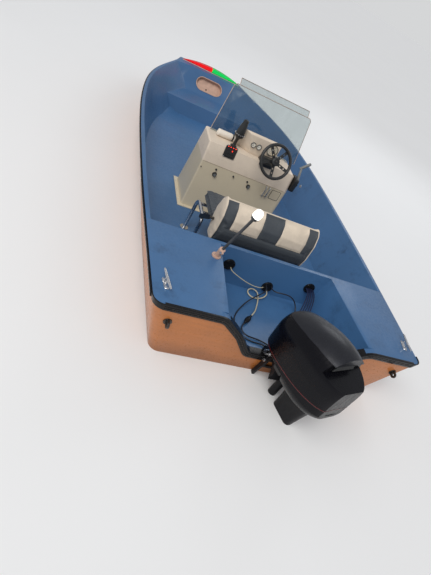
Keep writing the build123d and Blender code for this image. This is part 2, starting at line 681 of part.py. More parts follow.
def build_windscreen():
    port = -SCREEN_PORT_Y
    starboard = -SCREEN_STARBOARD_Y
    outline = FilletPolyline(
        (port, 0),
        (port + SCREEN_TOP_INSET, SCREEN_HEIGHT),
        (starboard - SCREEN_TOP_INSET, SCREEN_HEIGHT),
        (starboard, 0),
        radius=SCREEN_CORNER,
    )
    foot = Line((starboard, 0), (port, 0))
    sheet = extrude(screen_plane() * make_face(outline.edges() + foot.edges()), amount=-SCREEN_THICKNESS)
    inset = SCREEN_TOP_INSET + SCREEN_FLANGE_INSET
    width = starboard - port - 2 * inset
    bend = screen_plane() * Pos((starboard + port) / 2, SCREEN_HEIGHT, 0) * Rot(-SCREEN_BEND, 0, 0)
    flange = extrude(bend * Pos(0, SCREEN_FLANGE / 2, 0) * Rectangle(width, SCREEN_FLANGE), amount=-SCREEN_THICKNESS)
    return sheet + flange


def build_screen_brackets():
    brackets = []
    z = console_top()
    x = SCREEN_FOOT_X - 3
    for y in (SCREEN_PORT_Y - 90, (SCREEN_PORT_Y + SCREEN_STARBOARD_Y) / 2, SCREEN_STARBOARD_Y + 90):
        foot = block(x - 26, x, y - 15, y + 15, z, z + 3)
        leg = block(x - 3, x, y - 15, y + 15, z, z + 6)
        brackets.append((foot + leg).solid())
    return Compound(brackets)


def wheel_plane(along=0.0):
    """Plane of the steering wheel, normal to its column, with z towards the console."""
    tilt = radians(WHEEL_TILT)
    axis = Vector(cos(tilt), 0, -sin(tilt))
    return Plane(origin=Vector(WHEEL_CENTRE) + axis * along, x_dir=(0, 1, 0), z_dir=axis)


def build_steering_wheel():
    wheel = Torus(WHEEL_RADIUS, WHEEL_GRIP)
    wheel += Pos(0, 0, WHEEL_HUB_DEPTH / 2 + 4) * Cylinder(34, WHEEL_HUB_DEPTH - 8)
    length = WHEEL_RADIUS - 30
    spoke = Box(length, 24, 5)
    for along in (-0.2, 0.15):
        spoke -= Pos(along * length, 0, 0) * Cylinder(6, 20)
    spoke = Pos(length / 2 + 26, 0, 11) * Rot(0, 9, 0) * spoke
    for turn in range(WHEEL_SPOKES):
        wheel += Rot(0, 0, 54 + turn * 360 / WHEEL_SPOKES) * spoke
    return wheel_plane() * wheel


def build_helm():
    y = WHEEL_CENTRE[1]
    foot = HELM_OUTLINE[-1]
    corner = face_plane(CONSOLE_OUTLINE[1], CONSOLE_OUTLINE[2], y, console_top(), GAP).origin
    side = face_plane(CONSOLE_OUTLINE[1], CONSOLE_OUTLINE[2], y, console_top() + foot[1], GAP).origin
    outline = [(x, console_top() + z) for x, z in HELM_OUTLINE]
    outline += [(side.X, side.Z), (corner.X, console_top())]
    housing = prism(outline, y - HELM_HALF, y + HELM_HALF)
    column = rod(wheel_plane(WHEEL_HUB_DEPTH + GAP).origin, wheel_plane(COLUMN_REACH).origin, COLUMN_RADIUS)
    return housing + column


def build_throttle_box():
    x, z = THROTTLE_PIVOT
    length, width, height = THROTTLE_BOX
    y = CONSOLE_STARBOARD_Y - GAP
    box = block(x - length / 2, x + length / 2, y - width, y, z - height / 2, z + height / 2)
    box = fillet(box.edges().filter_by(Axis.Y), 18)
    return box + rod((x, y - width, z), (x, y - width - 8, z), 22)


def build_throttle_lever():
    x, z = THROTTLE_PIVOT
    lean = radians(THROTTLE_LEAN)
    y = CONSOLE_STARBOARD_Y - GAP - THROTTLE_BOX[1] - 8 - GAP
    top = Vector(x + THROTTLE_REACH * sin(lean), y - 9, z + THROTTLE_REACH * cos(lean))
    lever = rod((x, y, z), (x, y - 18, z), 16) + rod((x, y - 9, z), top, 8)
    grip = Vector(THROTTLE_GRIP)
    return lever + rod(top - grip * 0.15, top + grip, 11)


def seat_sides():
    return (SEAT_STARBOARD_Y - SEAT_ARM_CLEAR, SEAT_PORT_Y + SEAT_ARM_CLEAR)


def build_seat_frame():
    low = SOLE_Z + GAP
    rail_z = CUSHION_Z[0] - SEAT_TUBE - GAP
    x0, x1 = CUSHION_X[0] + 30, CUSHION_X[1] - 30
    y0, y1 = seat_sides()
    frame = None
    for y in (y0, y1):
        path = ((x0, y, low + 3), (x0, y, rail_z), (x1, y, rail_z), (x1, y, low + 3))
        side = bent_rod(path, 60, SEAT_TUBE)
        for x in (x0, x1):
            side += Pos(x, y, low) * Cylinder(34, 6, align=(Align.CENTER, Align.CENTER, Align.MIN))
        frame = side if frame is None else frame + side
    for x in (x0 + 70, x1 - 70):
        frame += rod((x, y0, rail_z + 3), (x, y1, rail_z + 3), SEAT_TUBE - 3)
    return frame


def build_seat_arms():
    arms = []
    for y, side in zip(seat_sides(), (-1, 1)):
        inner = y + side * (SEAT_TUBE + GAP)
        foot = Vector(CUSHION_X[0] + 50, inner, CUSHION_Z[0] - SEAT_TUBE)
        top = Vector(BACK_OUTLINE[4][0], inner, BACK_OUTLINE[1][1] + 30)
        face = Plane(origin=foot, x_dir=(top - foot).normalized(), z_dir=(0, side, 0))
        length = (top - foot).length
        bar = extrude(face * Pos(length / 2, 0, 0) * SlotOverall(length + 40, 32), amount=6)
        pin = rod(top, (top.X, (SEAT_STARBOARD_Y, SEAT_PORT_Y)[side > 0] + side * GAP, top.Z), 9)
        arms.append((bar + pin).solid())
    return Compound(arms)


def build_seat_cushion():
    pad = block(*CUSHION_X, SEAT_STARBOARD_Y + 10, SEAT_PORT_Y - 10, *CUSHION_Z)
    return fillet(pad.edges(), 22)


def build_seat_backrest():
    outline = make_face(FilletPolyline(*BACK_OUTLINE, radius=BACK_ROUND * 2, close=True).edges())
    end = Plane(origin=(0, SEAT_PORT_Y, 0), x_dir=(1, 0, 0), z_dir=(0, -1, 0))
    back = extrude(end * outline, amount=SEAT_PORT_Y - SEAT_STARBOARD_Y)
    ends = back.faces().sort_by(Axis.Y)
    return fillet(ends[0].edges() + ends[-1].edges(), BACK_ROUND)


def tilt_plates():
    return (-BRACKET_Y - BRACKET_THICKNESS, BRACKET_Y)


def build_clamp_bracket():
    seat = FREEBOARD - (CUTOUT_EDGE[-1][1] - EDGING_LIP) * cos(radians(TRANSOM_RAKE)) + GAP
    low = seat - BRACKET_DROP
    hook = seat - BRACKET_HOOK
    out = (EDGING_THICKNESS + GAP) / cos(radians(TRANSOM_RAKE))
    inner = TRANSOM_THICKNESS + GAP
    x, z = TILT_AXIS
    outline = (
        (transom_x(low) - out, low),
        (transom_x(seat) - out, seat),
        (transom_x(seat) + inner, seat),
        (transom_x(hook) + inner, hook),
        (transom_x(hook) + inner + 12, hook),
        (transom_x(seat) + inner + 14, seat + 20),
        (x + 22, z + 22),
        (x - 18, z + 22),
        (x - 26, z - 14),
        (transom_x(low) - out - 24, low),
    )
    bracket = None
    for y in tilt_plates():
        plate = prism(outline, y, y + BRACKET_THICKNESS)
        bracket = plate if bracket is None else bracket + plate
    for top in (seat - 80, low + 20):
        foot = top - 20
        bar = (
            (transom_x(top) - out, top), (transom_x(foot) - out, foot),
            (transom_x(foot) - out - 10, foot), (transom_x(top) - out - 10, top),
        )
        bracket += prism(bar, -BRACKET_Y, BRACKET_Y)
    return bracket - rod((x, -FAR, z), (x, FAR, z), TILT_TUBE_RADIUS + GAP)


def build_tilt_tube():
    x, z = TILT_AXIS
    tube = rod((x, -TILT_TUBE_HALF, z), (x, TILT_TUBE_HALF, z), TILT_TUBE_RADIUS)
    plates = tilt_plates()
    outside = plates[1] + BRACKET_THICKNESS
    for y0, y1 in ((plates[0] - GAP, plates[0] - 16), (outside + GAP, outside + 16)):
        nut = Plane(origin=(x, y0, z), x_dir=(1, 0, 0), z_dir=(0, y1 - y0, 0)) * RegularPolygon(26, 6)
        tube += extrude(nut, amount=abs(y1 - y0))
    return tube


def build_swivel_bracket():
    x, z = TILT_AXIS
    half = BRACKET_Y - 6
    body = rod((x, -half, z), (x, half, z), TILT_TUBE_RADIUS + 12)
    for y in (-half, half - 22):
        body += prism(
            (
                (x + 10, z + 25), (x - 30, z + 14), (SWIVEL_X, SWIVEL_Z[1] - 4),
                (SWIVEL_X - 10, SWIVEL_Z[1] - 60), (x - 10, z - 26),
            ),
            y, y + 22,
        )
    body += prism(
        ((x - 20, z - 2), (SWIVEL_X, SWIVEL_Z[1] - 30), (SWIVEL_X, SWIVEL_Z[1] - 90), (x - 24, z - 14)), -half, half
    )
    body += rod((SWIVEL_X, 0, SWIVEL_Z[0]), (SWIVEL_X, 0, SWIVEL_Z[1]), SWIVEL_RADIUS)
    body -= rod((x, -FAR, z), (x, FAR, z), TILT_TUBE_RADIUS + 0.5)
    return body - rod((SWIVEL_X, 0, -FAR), (SWIVEL_X, 0, FAR), PIVOT_RADIUS + 0.5)


def motor(shape):
    """Places a shape drawn about the swivel axis at the motor's steering angle."""
    return Pos(SWIVEL_X, 0, 0) * Rot(0, 0, STEER_AT_REST) * shape


def motor_loft(levels):
    sections = [
        Pos(x, 0, z) * RectangleRounded(length, width, radius) for z, x, length, width, radius in levels
    ]
    return loft(sections)


def cowl_section(row, inset):
    """One station of the cowl, seen along it, moved in by inset."""
    x, seam, waist, crease = row[0], row[1] - inset, row[2] - inset, row[3] - inset
    crease_z, crown_z = row[4] - inset, row[5] - inset
    low = COWL_Z - inset
    bulge = (crease + 0.7 * (waist - crease), COWL_WAIST_Z + 0.55 * (crease_z - COWL_WAIST_Z))
    edges = [
        Line((-seam, low), (seam, low)),
        Line((seam, low), (waist, COWL_WAIST_Z)),
        ThreePointArc((waist, COWL_WAIST_Z), bulge, (crease, crease_z)),
        ThreePointArc((crease, crease_z), (0, crown_z), (-crease, crease_z)),
        ThreePointArc((-crease, crease_z), (-bulge[0], bulge[1]), (-waist, COWL_WAIST_Z)),
        Line((-waist, COWL_WAIST_Z), (-seam, low)),
    ]
    return Plane(origin=(x, 0, 0), x_dir=(0, 1, 0), z_dir=(1, 0, 0)) * make_face(edges)


def cowl_form(inset=0.0):
    rows = [list(row) for row in COWL_STATIONS]
    rows[0][0] -= inset
    rows[-1][0] += inset
    return loft([cowl_section(row, inset) for row in rows])


def lid_space(lower=0.0):
    """Everything above the lid's lower rim, ahead of the lid's aft end."""
    rim = [(row[0], row[4] - LID_RIM - lower) for row in COWL_STATIONS if row[0] > LID_END_X]
    points = [(FAR, rim[0][1]), *rim, (LID_END_X, rim[-1][1]), (LID_END_X, FAR), (FAR, FAR)]
    return prism(points, -FAR, FAR)


def shelf_space(inset=0.0):
    """Everything above the shelf behind the lid."""
    x = LID_END_X + SHELF_RECESS + inset
    z = [row[4] for row in COWL_STATIONS if row[0] > LID_END_X][-1] - SHELF_DROP - inset
    return prism(((x, z), (x, FAR), (-FAR, FAR), (-FAR, z), (x - 130, z - SHELF_SLOPE)), -FAR, FAR)


def build_cowl():
    shell = (cowl_form() - shelf_space()) - (cowl_form(COWL_WALL) - shelf_space(COWL_WALL))
    return motor(shell - lid_space(GAP))


def build_cowl_lid():
    hollow = cowl_form(COWL_WALL) & block(LID_END_X + SHELF_RECESS, FAR, -FAR, FAR, 0, FAR)
    return motor((cowl_form() & lid_space()) - hollow)


def pan_section(row):
    x, seam, foot = row[0], row[1], row[6]
    top = COWL_Z - GAP
    side = (0.84 * seam, top + 0.6 * (foot - top))
    edges = [
        Line((seam, top), (-seam, top)),
        ThreePointArc((-seam, top), (-side[0], side[1]), (-0.42 * seam, foot)),
        Line((-0.42 * seam, foot), (0.42 * seam, foot)),
        ThreePointArc((0.42 * seam, foot), side, (seam, top)),
    ]
    return Plane(origin=(x, 0, 0), x_dir=(0, 1, 0), z_dir=(1, 0, 0)) * make_face(edges)


def build_lower_pan():
    pan = loft([pan_section(row) for row in COWL_STATIONS])
    pan -= block(-FAR, FAR, -FAR, FAR, 0, PAN_Z)
    return motor(pan - block(-60, FAR, -FAR, FAR, 0, COWL_Z - GAP - 8))


def build_engine():
    length, width, height = ENGINE_SIZE
    engine = Box(length, width, height, align=(Align.CENTER, Align.CENTER, Align.MIN))
    return motor(Pos(-80, 0, COWL_Z + GAP) * engine)


def build_midsection():
    top = PAN_Z - GAP
    levels = (
        (PLATE_Z + GAP, -140.0, 170.0, 60.0, 25.0),
        (-90.0, -135.0, 160.0, 66.0, 28.0),
        (SWIVEL_Z[1] - 60, -150.0, 190.0, 96.0, 36.0),
        (top, -145.0, 220.0, 130.0, 40.0),
    )
    column = motor_loft(levels)
    clear = SWIVEL_RADIUS + 6
    column -= block(-clear, FAR, -FAR, FAR, SWIVEL_Z[0] - 8, SWIVEL_Z[1] + 6)
    for z0, z1 in ((SWIVEL_Z[0] - 30, SWIVEL_Z[0] - 8), (SWIVEL_Z[1] + 6, top)):
        column += block(-70, 0, -24, 24, z0, z1) + rod((0, 0, z0), (0, 0, z1), 30)
    column += rod((0, 0, SWIVEL_Z[0] - 20), (0, 0, SWIVEL_Z[1] + 10), PIVOT_RADIUS)
    return motor(column)


def build_gearcase():
    nose, tail = GEARCASE_ENDS
    points = (
        (nose, 0), (nose - 30, 26), (nose - 90, GEARCASE_RADIUS),
        (tail + 60, GEARCASE_RADIUS), (tail, PROP_HUB_RADIUS - 2), (tail, 0),
    )
    profile = make_face(Polyline(*points, close=True).edges())
    torpedo = revolve(Plane.XZ * profile, Axis.X)
    torpedo = Pos(0, 0, PROP_Z) * torpedo
    strut = motor_loft(
        (
            (PROP_Z, -140.0, 200.0, 40.0, 19.0),
            (PLATE_Z - 6, -145.0, 240.0, 48.0, 23.0),
        )
    )
    plate = extrude(Pos(-210, 0, PLATE_Z - 8) * RectangleRounded(380, 190, 60), amount=8)
    skeg = prism(((0, PROP_Z), (-150, SKEG_Z), (-215, SKEG_Z), (-240, PROP_Z)), -4, 4)
    return motor(torpedo + strut + plate + skeg)


def blade():
    sections = []
    rows = ((30.0, 66.0, 10.0), (75.0, 104.0, 8.0), (115.0, 112.0, 6.0), (PROP_RADIUS, 60.0, 3.0))
    for radius, chord, thick in rows:
        pitch = degrees(atan(PROP_PITCH / (2 * pi * radius)))
        plane = Plane(origin=(0, 0, radius), x_dir=(0, 1, 0), z_dir=(0, 0, 1))
        sections.append(plane * Rot(0, 0, -pitch) * RectangleRounded(chord, thick, thick * 0.45))
    return loft(sections)


def build_propeller():
    hub = Rot(0, -90, 0) * Cylinder(PROP_HUB_RADIUS, 92, align=(Align.CENTER, Align.CENTER, Align.MIN))
    prop = hub
    for turn in range(PROP_BLADES):
        prop += Rot(360 / PROP_BLADES * turn, 0, 0) * Pos(-48, 0, 0) * blade()
    prop += Rot(0, -90, 0) * Cylinder(12, 112, align=(Align.CENTER, Align.CENTER, Align.MIN))
    return motor(Pos(GEARCASE_ENDS[1] - GAP, 0, PROP_Z) * prop)


def bend_radii(points):
    """The largest radius that the runs beside each corner of a route leave room for."""
    radii = []
    for a, b, c in zip(points, points[1:], points[2:]):
        into = Vector(b) - Vector(a)
        out = Vector(c) - Vector(b)
        turn = radians(into.get_angle(out))
        radii.append(0.45 * min(into.length, out.length) / tan(turn / 2))
    return radii


def cord(points, radius):
    radii = bend_radii(points)
    print("cord radii", [round(r) for r in radii])
    return bent_rod(points, radii, radius)


def build_control_cables():
    cables = []
    for place in range(CONTROL_CABLES):
        side = (place - (CONTROL_CABLES - 1) / 2) * CABLE_PITCH
        route = [(x, y + side * spread, z) for x, y, spread, z in CONTROL_ROUTE]
        cables.append(cord(route, CABLE_RADIUS).solid())
    return Compound(cables)


def build_battery_cables():
    return Compound([cord(route, CABLE_RADIUS).solid() for route in BATTERY_ROUTES])


def build_fuel_hose():
    routes = (FUEL_ROUTE_TO_BULB, FUEL_ROUTE_FROM_BULB)
    return Compound([cord(route, CABLE_RADIUS).solid() for route in routes])


def build_primer_bulb():
    start = Vector(FUEL_ROUTE_TO_BULB[-1])
    end = Vector(FUEL_ROUTE_FROM_BULB[0])
    line = (end - start).normalized()
    neck = CABLE_RADIUS + 3
    half = (end - start).length / 2 - 2 * GAP
    side = Polyline((-half, 0), (-half, neck), (-half + 12, neck))
    belly = ThreePointArc((-half + 12, neck), (0, BULB_RADIUS), (half - 12, neck))
    rest = Polyline((half - 12, neck), (half, neck), (half, 0), (-half, 0))
    profile = make_face(side.edges() + belly.edges() + rest.edges())
    return Plane(origin=(start + end) / 2, x_dir=line, z_dir=(0, 0, 1)) * revolve(profile, Axis.X)


def build_gland_wire():
    return cord(WIRE_ROUTE, WIRE_RADIUS)


def build_rigging_clamp():
    low = WELL_FLOOR_Z + GAP
    clamp = block(*CLAMP_X, *CLAMP_SPAN, low, low + CLAMP_HEIGHT)
    return fillet(clamp.edges().filter_by(Axis.Y).group_by(Axis.Z)[-1], 4)


def main():
    body = moulding_body()
    nodes = {
        "hull_skin": build_hull_skin(),
        "cockpit_liner": build_cockpit_liner(body),
        "aft_deck": build_aft_deck(body),
        "bow_pocket_tray": build_pocket_tray(),
        "rub_rail": build_rub_rail(),
        "transom_edging": build_transom_edging(),
        "cable_glands": build_glands(),
        "cleats": build_cleats(),
        "bow_eye": build_bow_eye(),
        "stern_eyes": build_stern_eyes(),
        "bow_light_base": build_bow_light_base(),
        "bow_lens_port": build_bow_lens(True),
        "bow_lens_starboard": build_bow_lens(False),
        "pole_socket": build_pole_socket(),
        "light_pole": build_light_pole(),
        "pole_lamp": build_pole_lamp(),
        "console": build_console(),
        "switch_panel": build_switch_panel(),
        "console_knobs": build_knobs(),
        "instrument_pod": build_instrument_pod(),
        "gauges": build_gauges(),
        "compass": build_compass(),
        "console_roll": build_console_roll(),
        "windscreen": build_windscreen(),
        "screen_brackets": build_screen_brackets(),
        "helm": build_helm(),
        "steering_wheel": build_steering_wheel(),
        "throttle_box": build_throttle_box(),
        "throttle_lever": build_throttle_lever(),
        "seat_frame": build_seat_frame(),
        "seat_arms": build_seat_arms(),
        "seat_cushion": build_seat_cushion(),
        "seat_backrest": build_seat_backrest(),
        "clamp_bracket": build_clamp_bracket(),
        "tilt_tube": build_tilt_tube(),
        "swivel_bracket": build_swivel_bracket(),
        "cowl": build_cowl(),
        "cowl_lid": build_cowl_lid(),
        "lower_pan": build_lower_pan(),
        "engine_block": build_engine(),
        "midsection": build_midsection(),
        "gearcase": build_gearcase(),
        "propeller": build_propeller(),
        "control_cables": build_control_cables(),
        "battery_cables": build_battery_cables(),
        "fuel_hose": build_fuel_hose(),
        "primer_bulb": build_primer_bulb(),
        "gland_wire": build_gland_wire(),
        "rigging_clamp": build_rigging_clamp(),
    }
    os.makedirs("parts", exist_ok=True)
    for name, shape in nodes.items():
        export_step(shape, f"parts/{name}.step")


main()
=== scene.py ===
import json
import math

import bmesh
import bpy
from mathutils import Matrix, Vector


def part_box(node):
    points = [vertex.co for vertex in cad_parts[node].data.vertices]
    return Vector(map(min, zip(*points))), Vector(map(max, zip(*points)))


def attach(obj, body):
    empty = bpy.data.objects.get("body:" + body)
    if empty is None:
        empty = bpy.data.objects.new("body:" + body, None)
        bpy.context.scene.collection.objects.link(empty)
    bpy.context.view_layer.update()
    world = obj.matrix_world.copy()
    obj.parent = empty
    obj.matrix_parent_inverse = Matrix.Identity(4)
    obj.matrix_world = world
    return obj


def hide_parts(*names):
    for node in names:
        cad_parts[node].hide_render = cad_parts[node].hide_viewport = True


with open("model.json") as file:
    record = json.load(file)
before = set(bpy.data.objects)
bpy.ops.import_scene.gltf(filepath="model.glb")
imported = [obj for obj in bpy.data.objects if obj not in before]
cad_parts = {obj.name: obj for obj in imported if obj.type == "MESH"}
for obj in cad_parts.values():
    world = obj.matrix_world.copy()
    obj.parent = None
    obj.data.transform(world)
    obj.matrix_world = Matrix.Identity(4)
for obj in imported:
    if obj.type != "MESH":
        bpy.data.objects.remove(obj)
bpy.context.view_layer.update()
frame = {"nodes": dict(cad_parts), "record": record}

# Everything is in metres in the boat's frame: +X forward, +Y port, +Z up, the water at z = 0.
X, Y, Z = (Vector(axis) for axis in ((1, 0, 0), (0, 1, 0), (0, 0, 1)))


def moved(x, y, z=0.0):
    return Matrix.Translation((x, y, z))


def turned(angle, axis):
    return Matrix.Rotation(angle, 4, axis)


# Camera, at the place and angle that the photograph was taken from
CAMERA_AT = (-1.5197, 1.5455, 1.8561)
CAMERA_RIGHT = (-0.13372, -0.88381, 0.44834)
CAMERA_UP = (0.69418, 0.23934, 0.67884)
CAMERA_BACK = (-0.70727, 0.402, 0.58152)
CAMERA_LENS = 27.868
CAMERA_SENSOR = 36.0


def add_camera():
    data = bpy.data.cameras.new("camera")
    data.lens = CAMERA_LENS
    data.sensor_width = CAMERA_SENSOR
    camera = bpy.data.objects.new("camera", data)
    turn = Matrix((CAMERA_RIGHT, CAMERA_UP, CAMERA_BACK)).transposed()
    camera.matrix_world = moved(*CAMERA_AT) @ turn.to_4x4()
    bpy.context.scene.collection.objects.link(camera)
    bpy.context.scene.camera = camera


add_camera()


# Procedural materials
class Nodes:
    """A material's node tree, with short calls for the nodes that the surfaces share."""

    def __init__(self, name):
        self.material = bpy.data.materials.new(name)
        self.material.use_nodes = True
        self.tree = self.material.node_tree
        self.shader = self.tree.nodes["Principled BSDF"]
        self.place = self.tree.nodes.new("ShaderNodeTexCoord").outputs["Object"]

    def feed(self, socket, value):
        if isinstance(value, bpy.types.NodeSocket):
            self.tree.links.new(value, socket)
        else:
            socket.default_value = value

    def add(self, kind, **inputs):
        """A new node, each of these inputs set to a value or fed by another node."""
        node = self.tree.nodes.new("ShaderNode" + kind)
        for name, value in inputs.items():
            self.feed(node.inputs[name.replace("_", " ")], value)
        return node

    def set(self, **values):
        for name, value in values.items():
            self.feed(self.shader.inputs[name.replace("_", " ")], value)

    def noise(self, scale, detail=3.0, stretch=(1, 1, 1), rough=0.55):
        place = self.add("Mapping", Scale=stretch, Vector=self.place).outputs["Vector"]
        return self.add("TexNoise", Scale=scale, Detail=detail, Roughness=rough, Vector=place).outputs["Fac"]

    def cells(self, scale, feature="F1"):
        node = self.add("TexVoronoi", Scale=scale, Vector=self.place)
        node.feature = feature
        return node.outputs["Distance"]

    def span(self, source, low, high, to_low=0.0, to_high=1.0):
        ends = dict(From_Min=low, From_Max=high, To_Min=to_low, To_Max=to_high)
        return self.add("MapRange", Value=source, **ends).outputs["Result"]

    def math(self, operation, a, b):
        node = self.add("Math")
        node.operation = operation
        self.feed(node.inputs[0], a)
        self.feed(node.inputs[1], b)
        return node.outputs["Value"]

    def blend(self, mask, low, high):
        """One colour or the other by the mask, through the mix node's colour sockets."""
        node = self.add("Mix")
        node.data_type = "RGBA"
        self.feed(node.inputs["Factor"], mask)
        for socket, value in ((node.inputs[6], low), (node.inputs[7], high)):
            self.feed(socket, (*value, 1.0) if isinstance(value, tuple) else value)
        return node.outputs[2]

    def height(self):
        return self.add("SeparateXYZ", Vector=self.place).outputs["Z"]

    def bump(self, height, distance):
        node = self.add("Bump", Distance=distance, Strength=1.0, Height=height)
        normal = self.shader.inputs["Normal"]
        if normal.is_linked:
            self.feed(node.inputs["Normal"], normal.links[0].from_socket)
        self.feed(normal, node.outputs["Normal"])


def shade(color, factor):
    return tuple(min(1.0, c * factor) for c in color)


def gelcoat(name, color, rough=0.28, smudges=0.0, streaks=0.0, waterline=0.0, below=None):
    """Moulded gelcoat: faint mottling, patchy smudges, wiped streaks and a stained foot at the water, and, if
    asked, a painted shade that darkens and yellows it below a height.
    """
    n = Nodes(name)
    n.set(Coat_Weight=0.15, Coat_Roughness=0.12)
    soft = n.span(n.noise(1.7, 4.0), 0.3, 0.7)
    tone = n.blend(soft, shade(color, 0.9), shade(color, 1.07))
    film = n.span(n.noise(4.0, 5.0, rough=0.6), 0.5, 0.85, 0.0, 0.45)
    tone = n.blend(film, tone, shade(color, 0.72))
    if streaks:
        lines = n.span(n.noise(16.0, 3.0, (1.0, 0.12, 3.0)), 0.45, 0.75, 0.0, streaks)
        tone = n.blend(lines, tone, shade(color, 0.7))
    if smudges:
        where = n.span(n.noise(1.1, 2.0), 0.5, 0.7)
        spots = n.span(n.noise(8.0, 9.0, (1.0, 0.7, 1.0), rough=0.75), 0.53, 0.72)
        mask = n.math("MULTIPLY", n.math("MULTIPLY", where, spots), smudges)
        tone = n.blend(mask, tone, shade(color, 0.35))
    # Painted shade: below this height the colour is darkened by the given factors, standing in for shade on a
    # lower face.
    if below:
        height, factor = below
        edge = n.span(n.height(), height - 0.001, height + 0.001, 1.0, 0.0)
        painted_shade_tone = tuple(c * f for c, f in zip(color, factor))
        tone = n.blend(n.math("MULTIPLY", edge, 0.8), tone, painted_shade_tone)
    if waterline:
        edge = n.math("ADD", n.height(), n.span(n.noise(4.0, 3.0), 0.3, 0.7, -0.04, 0.04))
        tone = n.blend(n.span(edge, 0.03, 0.12, waterline, 0.0), tone, shade(color, 0.45))
    n.set(Base_Color=tone)
    n.set(Roughness=n.span(n.noise(60.0, 4.0), 0.3, 0.75, rough - 0.06, rough + 0.18))
    n.bump(n.noise(9.0, 2.0), 0.0006)
    n.bump(n.noise(420.0, 2.0), 0.00004)
    return n.material


def rubber(name, color, rough=0.62):
    n = Nodes(name)
    n.set(Specular_IOR_Level=0.14, Coat_Weight=0.12, Coat_Roughness=0.1)
    dust = n.span(n.noise(26.0, 6.0), 0.5, 0.85)
    n.set(Base_Color=n.blend(dust, color, shade(color, 1.8)))
    n.set(Roughness=n.span(n.noise(90.0), 0.3, 0.7, rough - 0.1, rough + 0.12))
    n.bump(n.noise(300.0, 3.0), 0.00005)
    return n.material


def metal(name, color, rough=0.22):
    n = Nodes(name)
    n.set(Metallic=1.0)
    spots = n.span(n.noise(35.0, 5.0), 0.4, 0.75)
    n.set(Base_Color=n.blend(spots, color, shade(color, 0.82)))
    n.set(Roughness=n.span(n.noise(150.0, 4.0), 0.3, 0.7, rough - 0.07, rough + 0.16))
    n.bump(n.noise(500.0), 0.00002)
    return n.material


def paint(name, color, rough=0.3, coat=0.5, peel=0.00004, fleck=0.0, shine=0.3):
    """Sprayed enamel with orange peel, light scratches and dust, and metal flecks if asked."""
    n = Nodes(name)
    n.set(Coat_Weight=coat, Coat_Roughness=0.08, Metallic=fleck, Specular_IOR_Level=shine)
    dust = n.span(n.noise(12.0, 8.0, rough=0.7), 0.5, 0.85)
    tone = n.blend(dust, color, shade(color, 1.5))
    if fleck:
        tone = n.blend(n.span(n.noise(900.0, 2.0), 0.55, 0.75), tone, shade(color, 3.2))
    n.set(Base_Color=tone)
    n.set(Roughness=n.span(n.noise(70.0, 5.0, (1, 1, 0.3)), 0.3, 0.75, rough - 0.08, rough + 0.15))
    n.bump(n.noise(260.0, 2.0), peel)
    return n.material


def moulded(name, color, rough=0.5):
    """Injection-moulded plastic with a fine spark-eroded grain."""
    n = Nodes(name)
    wear = n.span(n.noise(18.0, 6.0), 0.45, 0.8)
    n.set(Base_Color=n.blend(wear, color, shade(color, 1.35)))
    n.set(Roughness=n.span(n.noise(120.0, 3.0), 0.3, 0.7, rough - 0.1, rough + 0.1))
    n.bump(n.cells(1300.0), 0.00008)
    return n.material


def vinyl(name, color):
    n = Nodes(name)
    n.set(Sheen_Weight=0.15, Sheen_Roughness=0.4)
    soil = n.span(n.noise(9.0, 7.0, rough=0.65), 0.42, 0.8)
    n.set(Base_Color=n.blend(soil, color, shade(color, 0.78)))
    n.set(Roughness=n.span(n.noise(40.0, 4.0), 0.3, 0.7, 0.40, 0.62))
    n.bump(n.span(n.cells(620.0, "DISTANCE_TO_EDGE"), 0.0, 0.25), 0.00022)
    return n.material


def clear(name, color, rough=0.02, glow=0.0):
    """Clear or tinted plastic, with faint wipe marks."""
    n = Nodes(name)
    n.set(Transmission_Weight=1.0, IOR=1.49)
    marks = n.span(n.noise(14.0, 6.0, (1, 1, 0.3)), 0.45, 0.8)
    n.set(Base_Color=n.blend(marks, color, shade(color, 0.93)))
    n.set(Roughness=n.span(n.noise(30.0, 6.0), 0.4, 0.85, rough, rough + 0.1))
    if glow:
        n.set(Emission_Color=(*color, 1.0), Emission_Strength=glow)
    return n.material


BLUE = (0.047, 0.135, 0.295)
ORANGE = (0.50, 0.172, 0.045)
CREAM = (0.74, 0.63, 0.51)

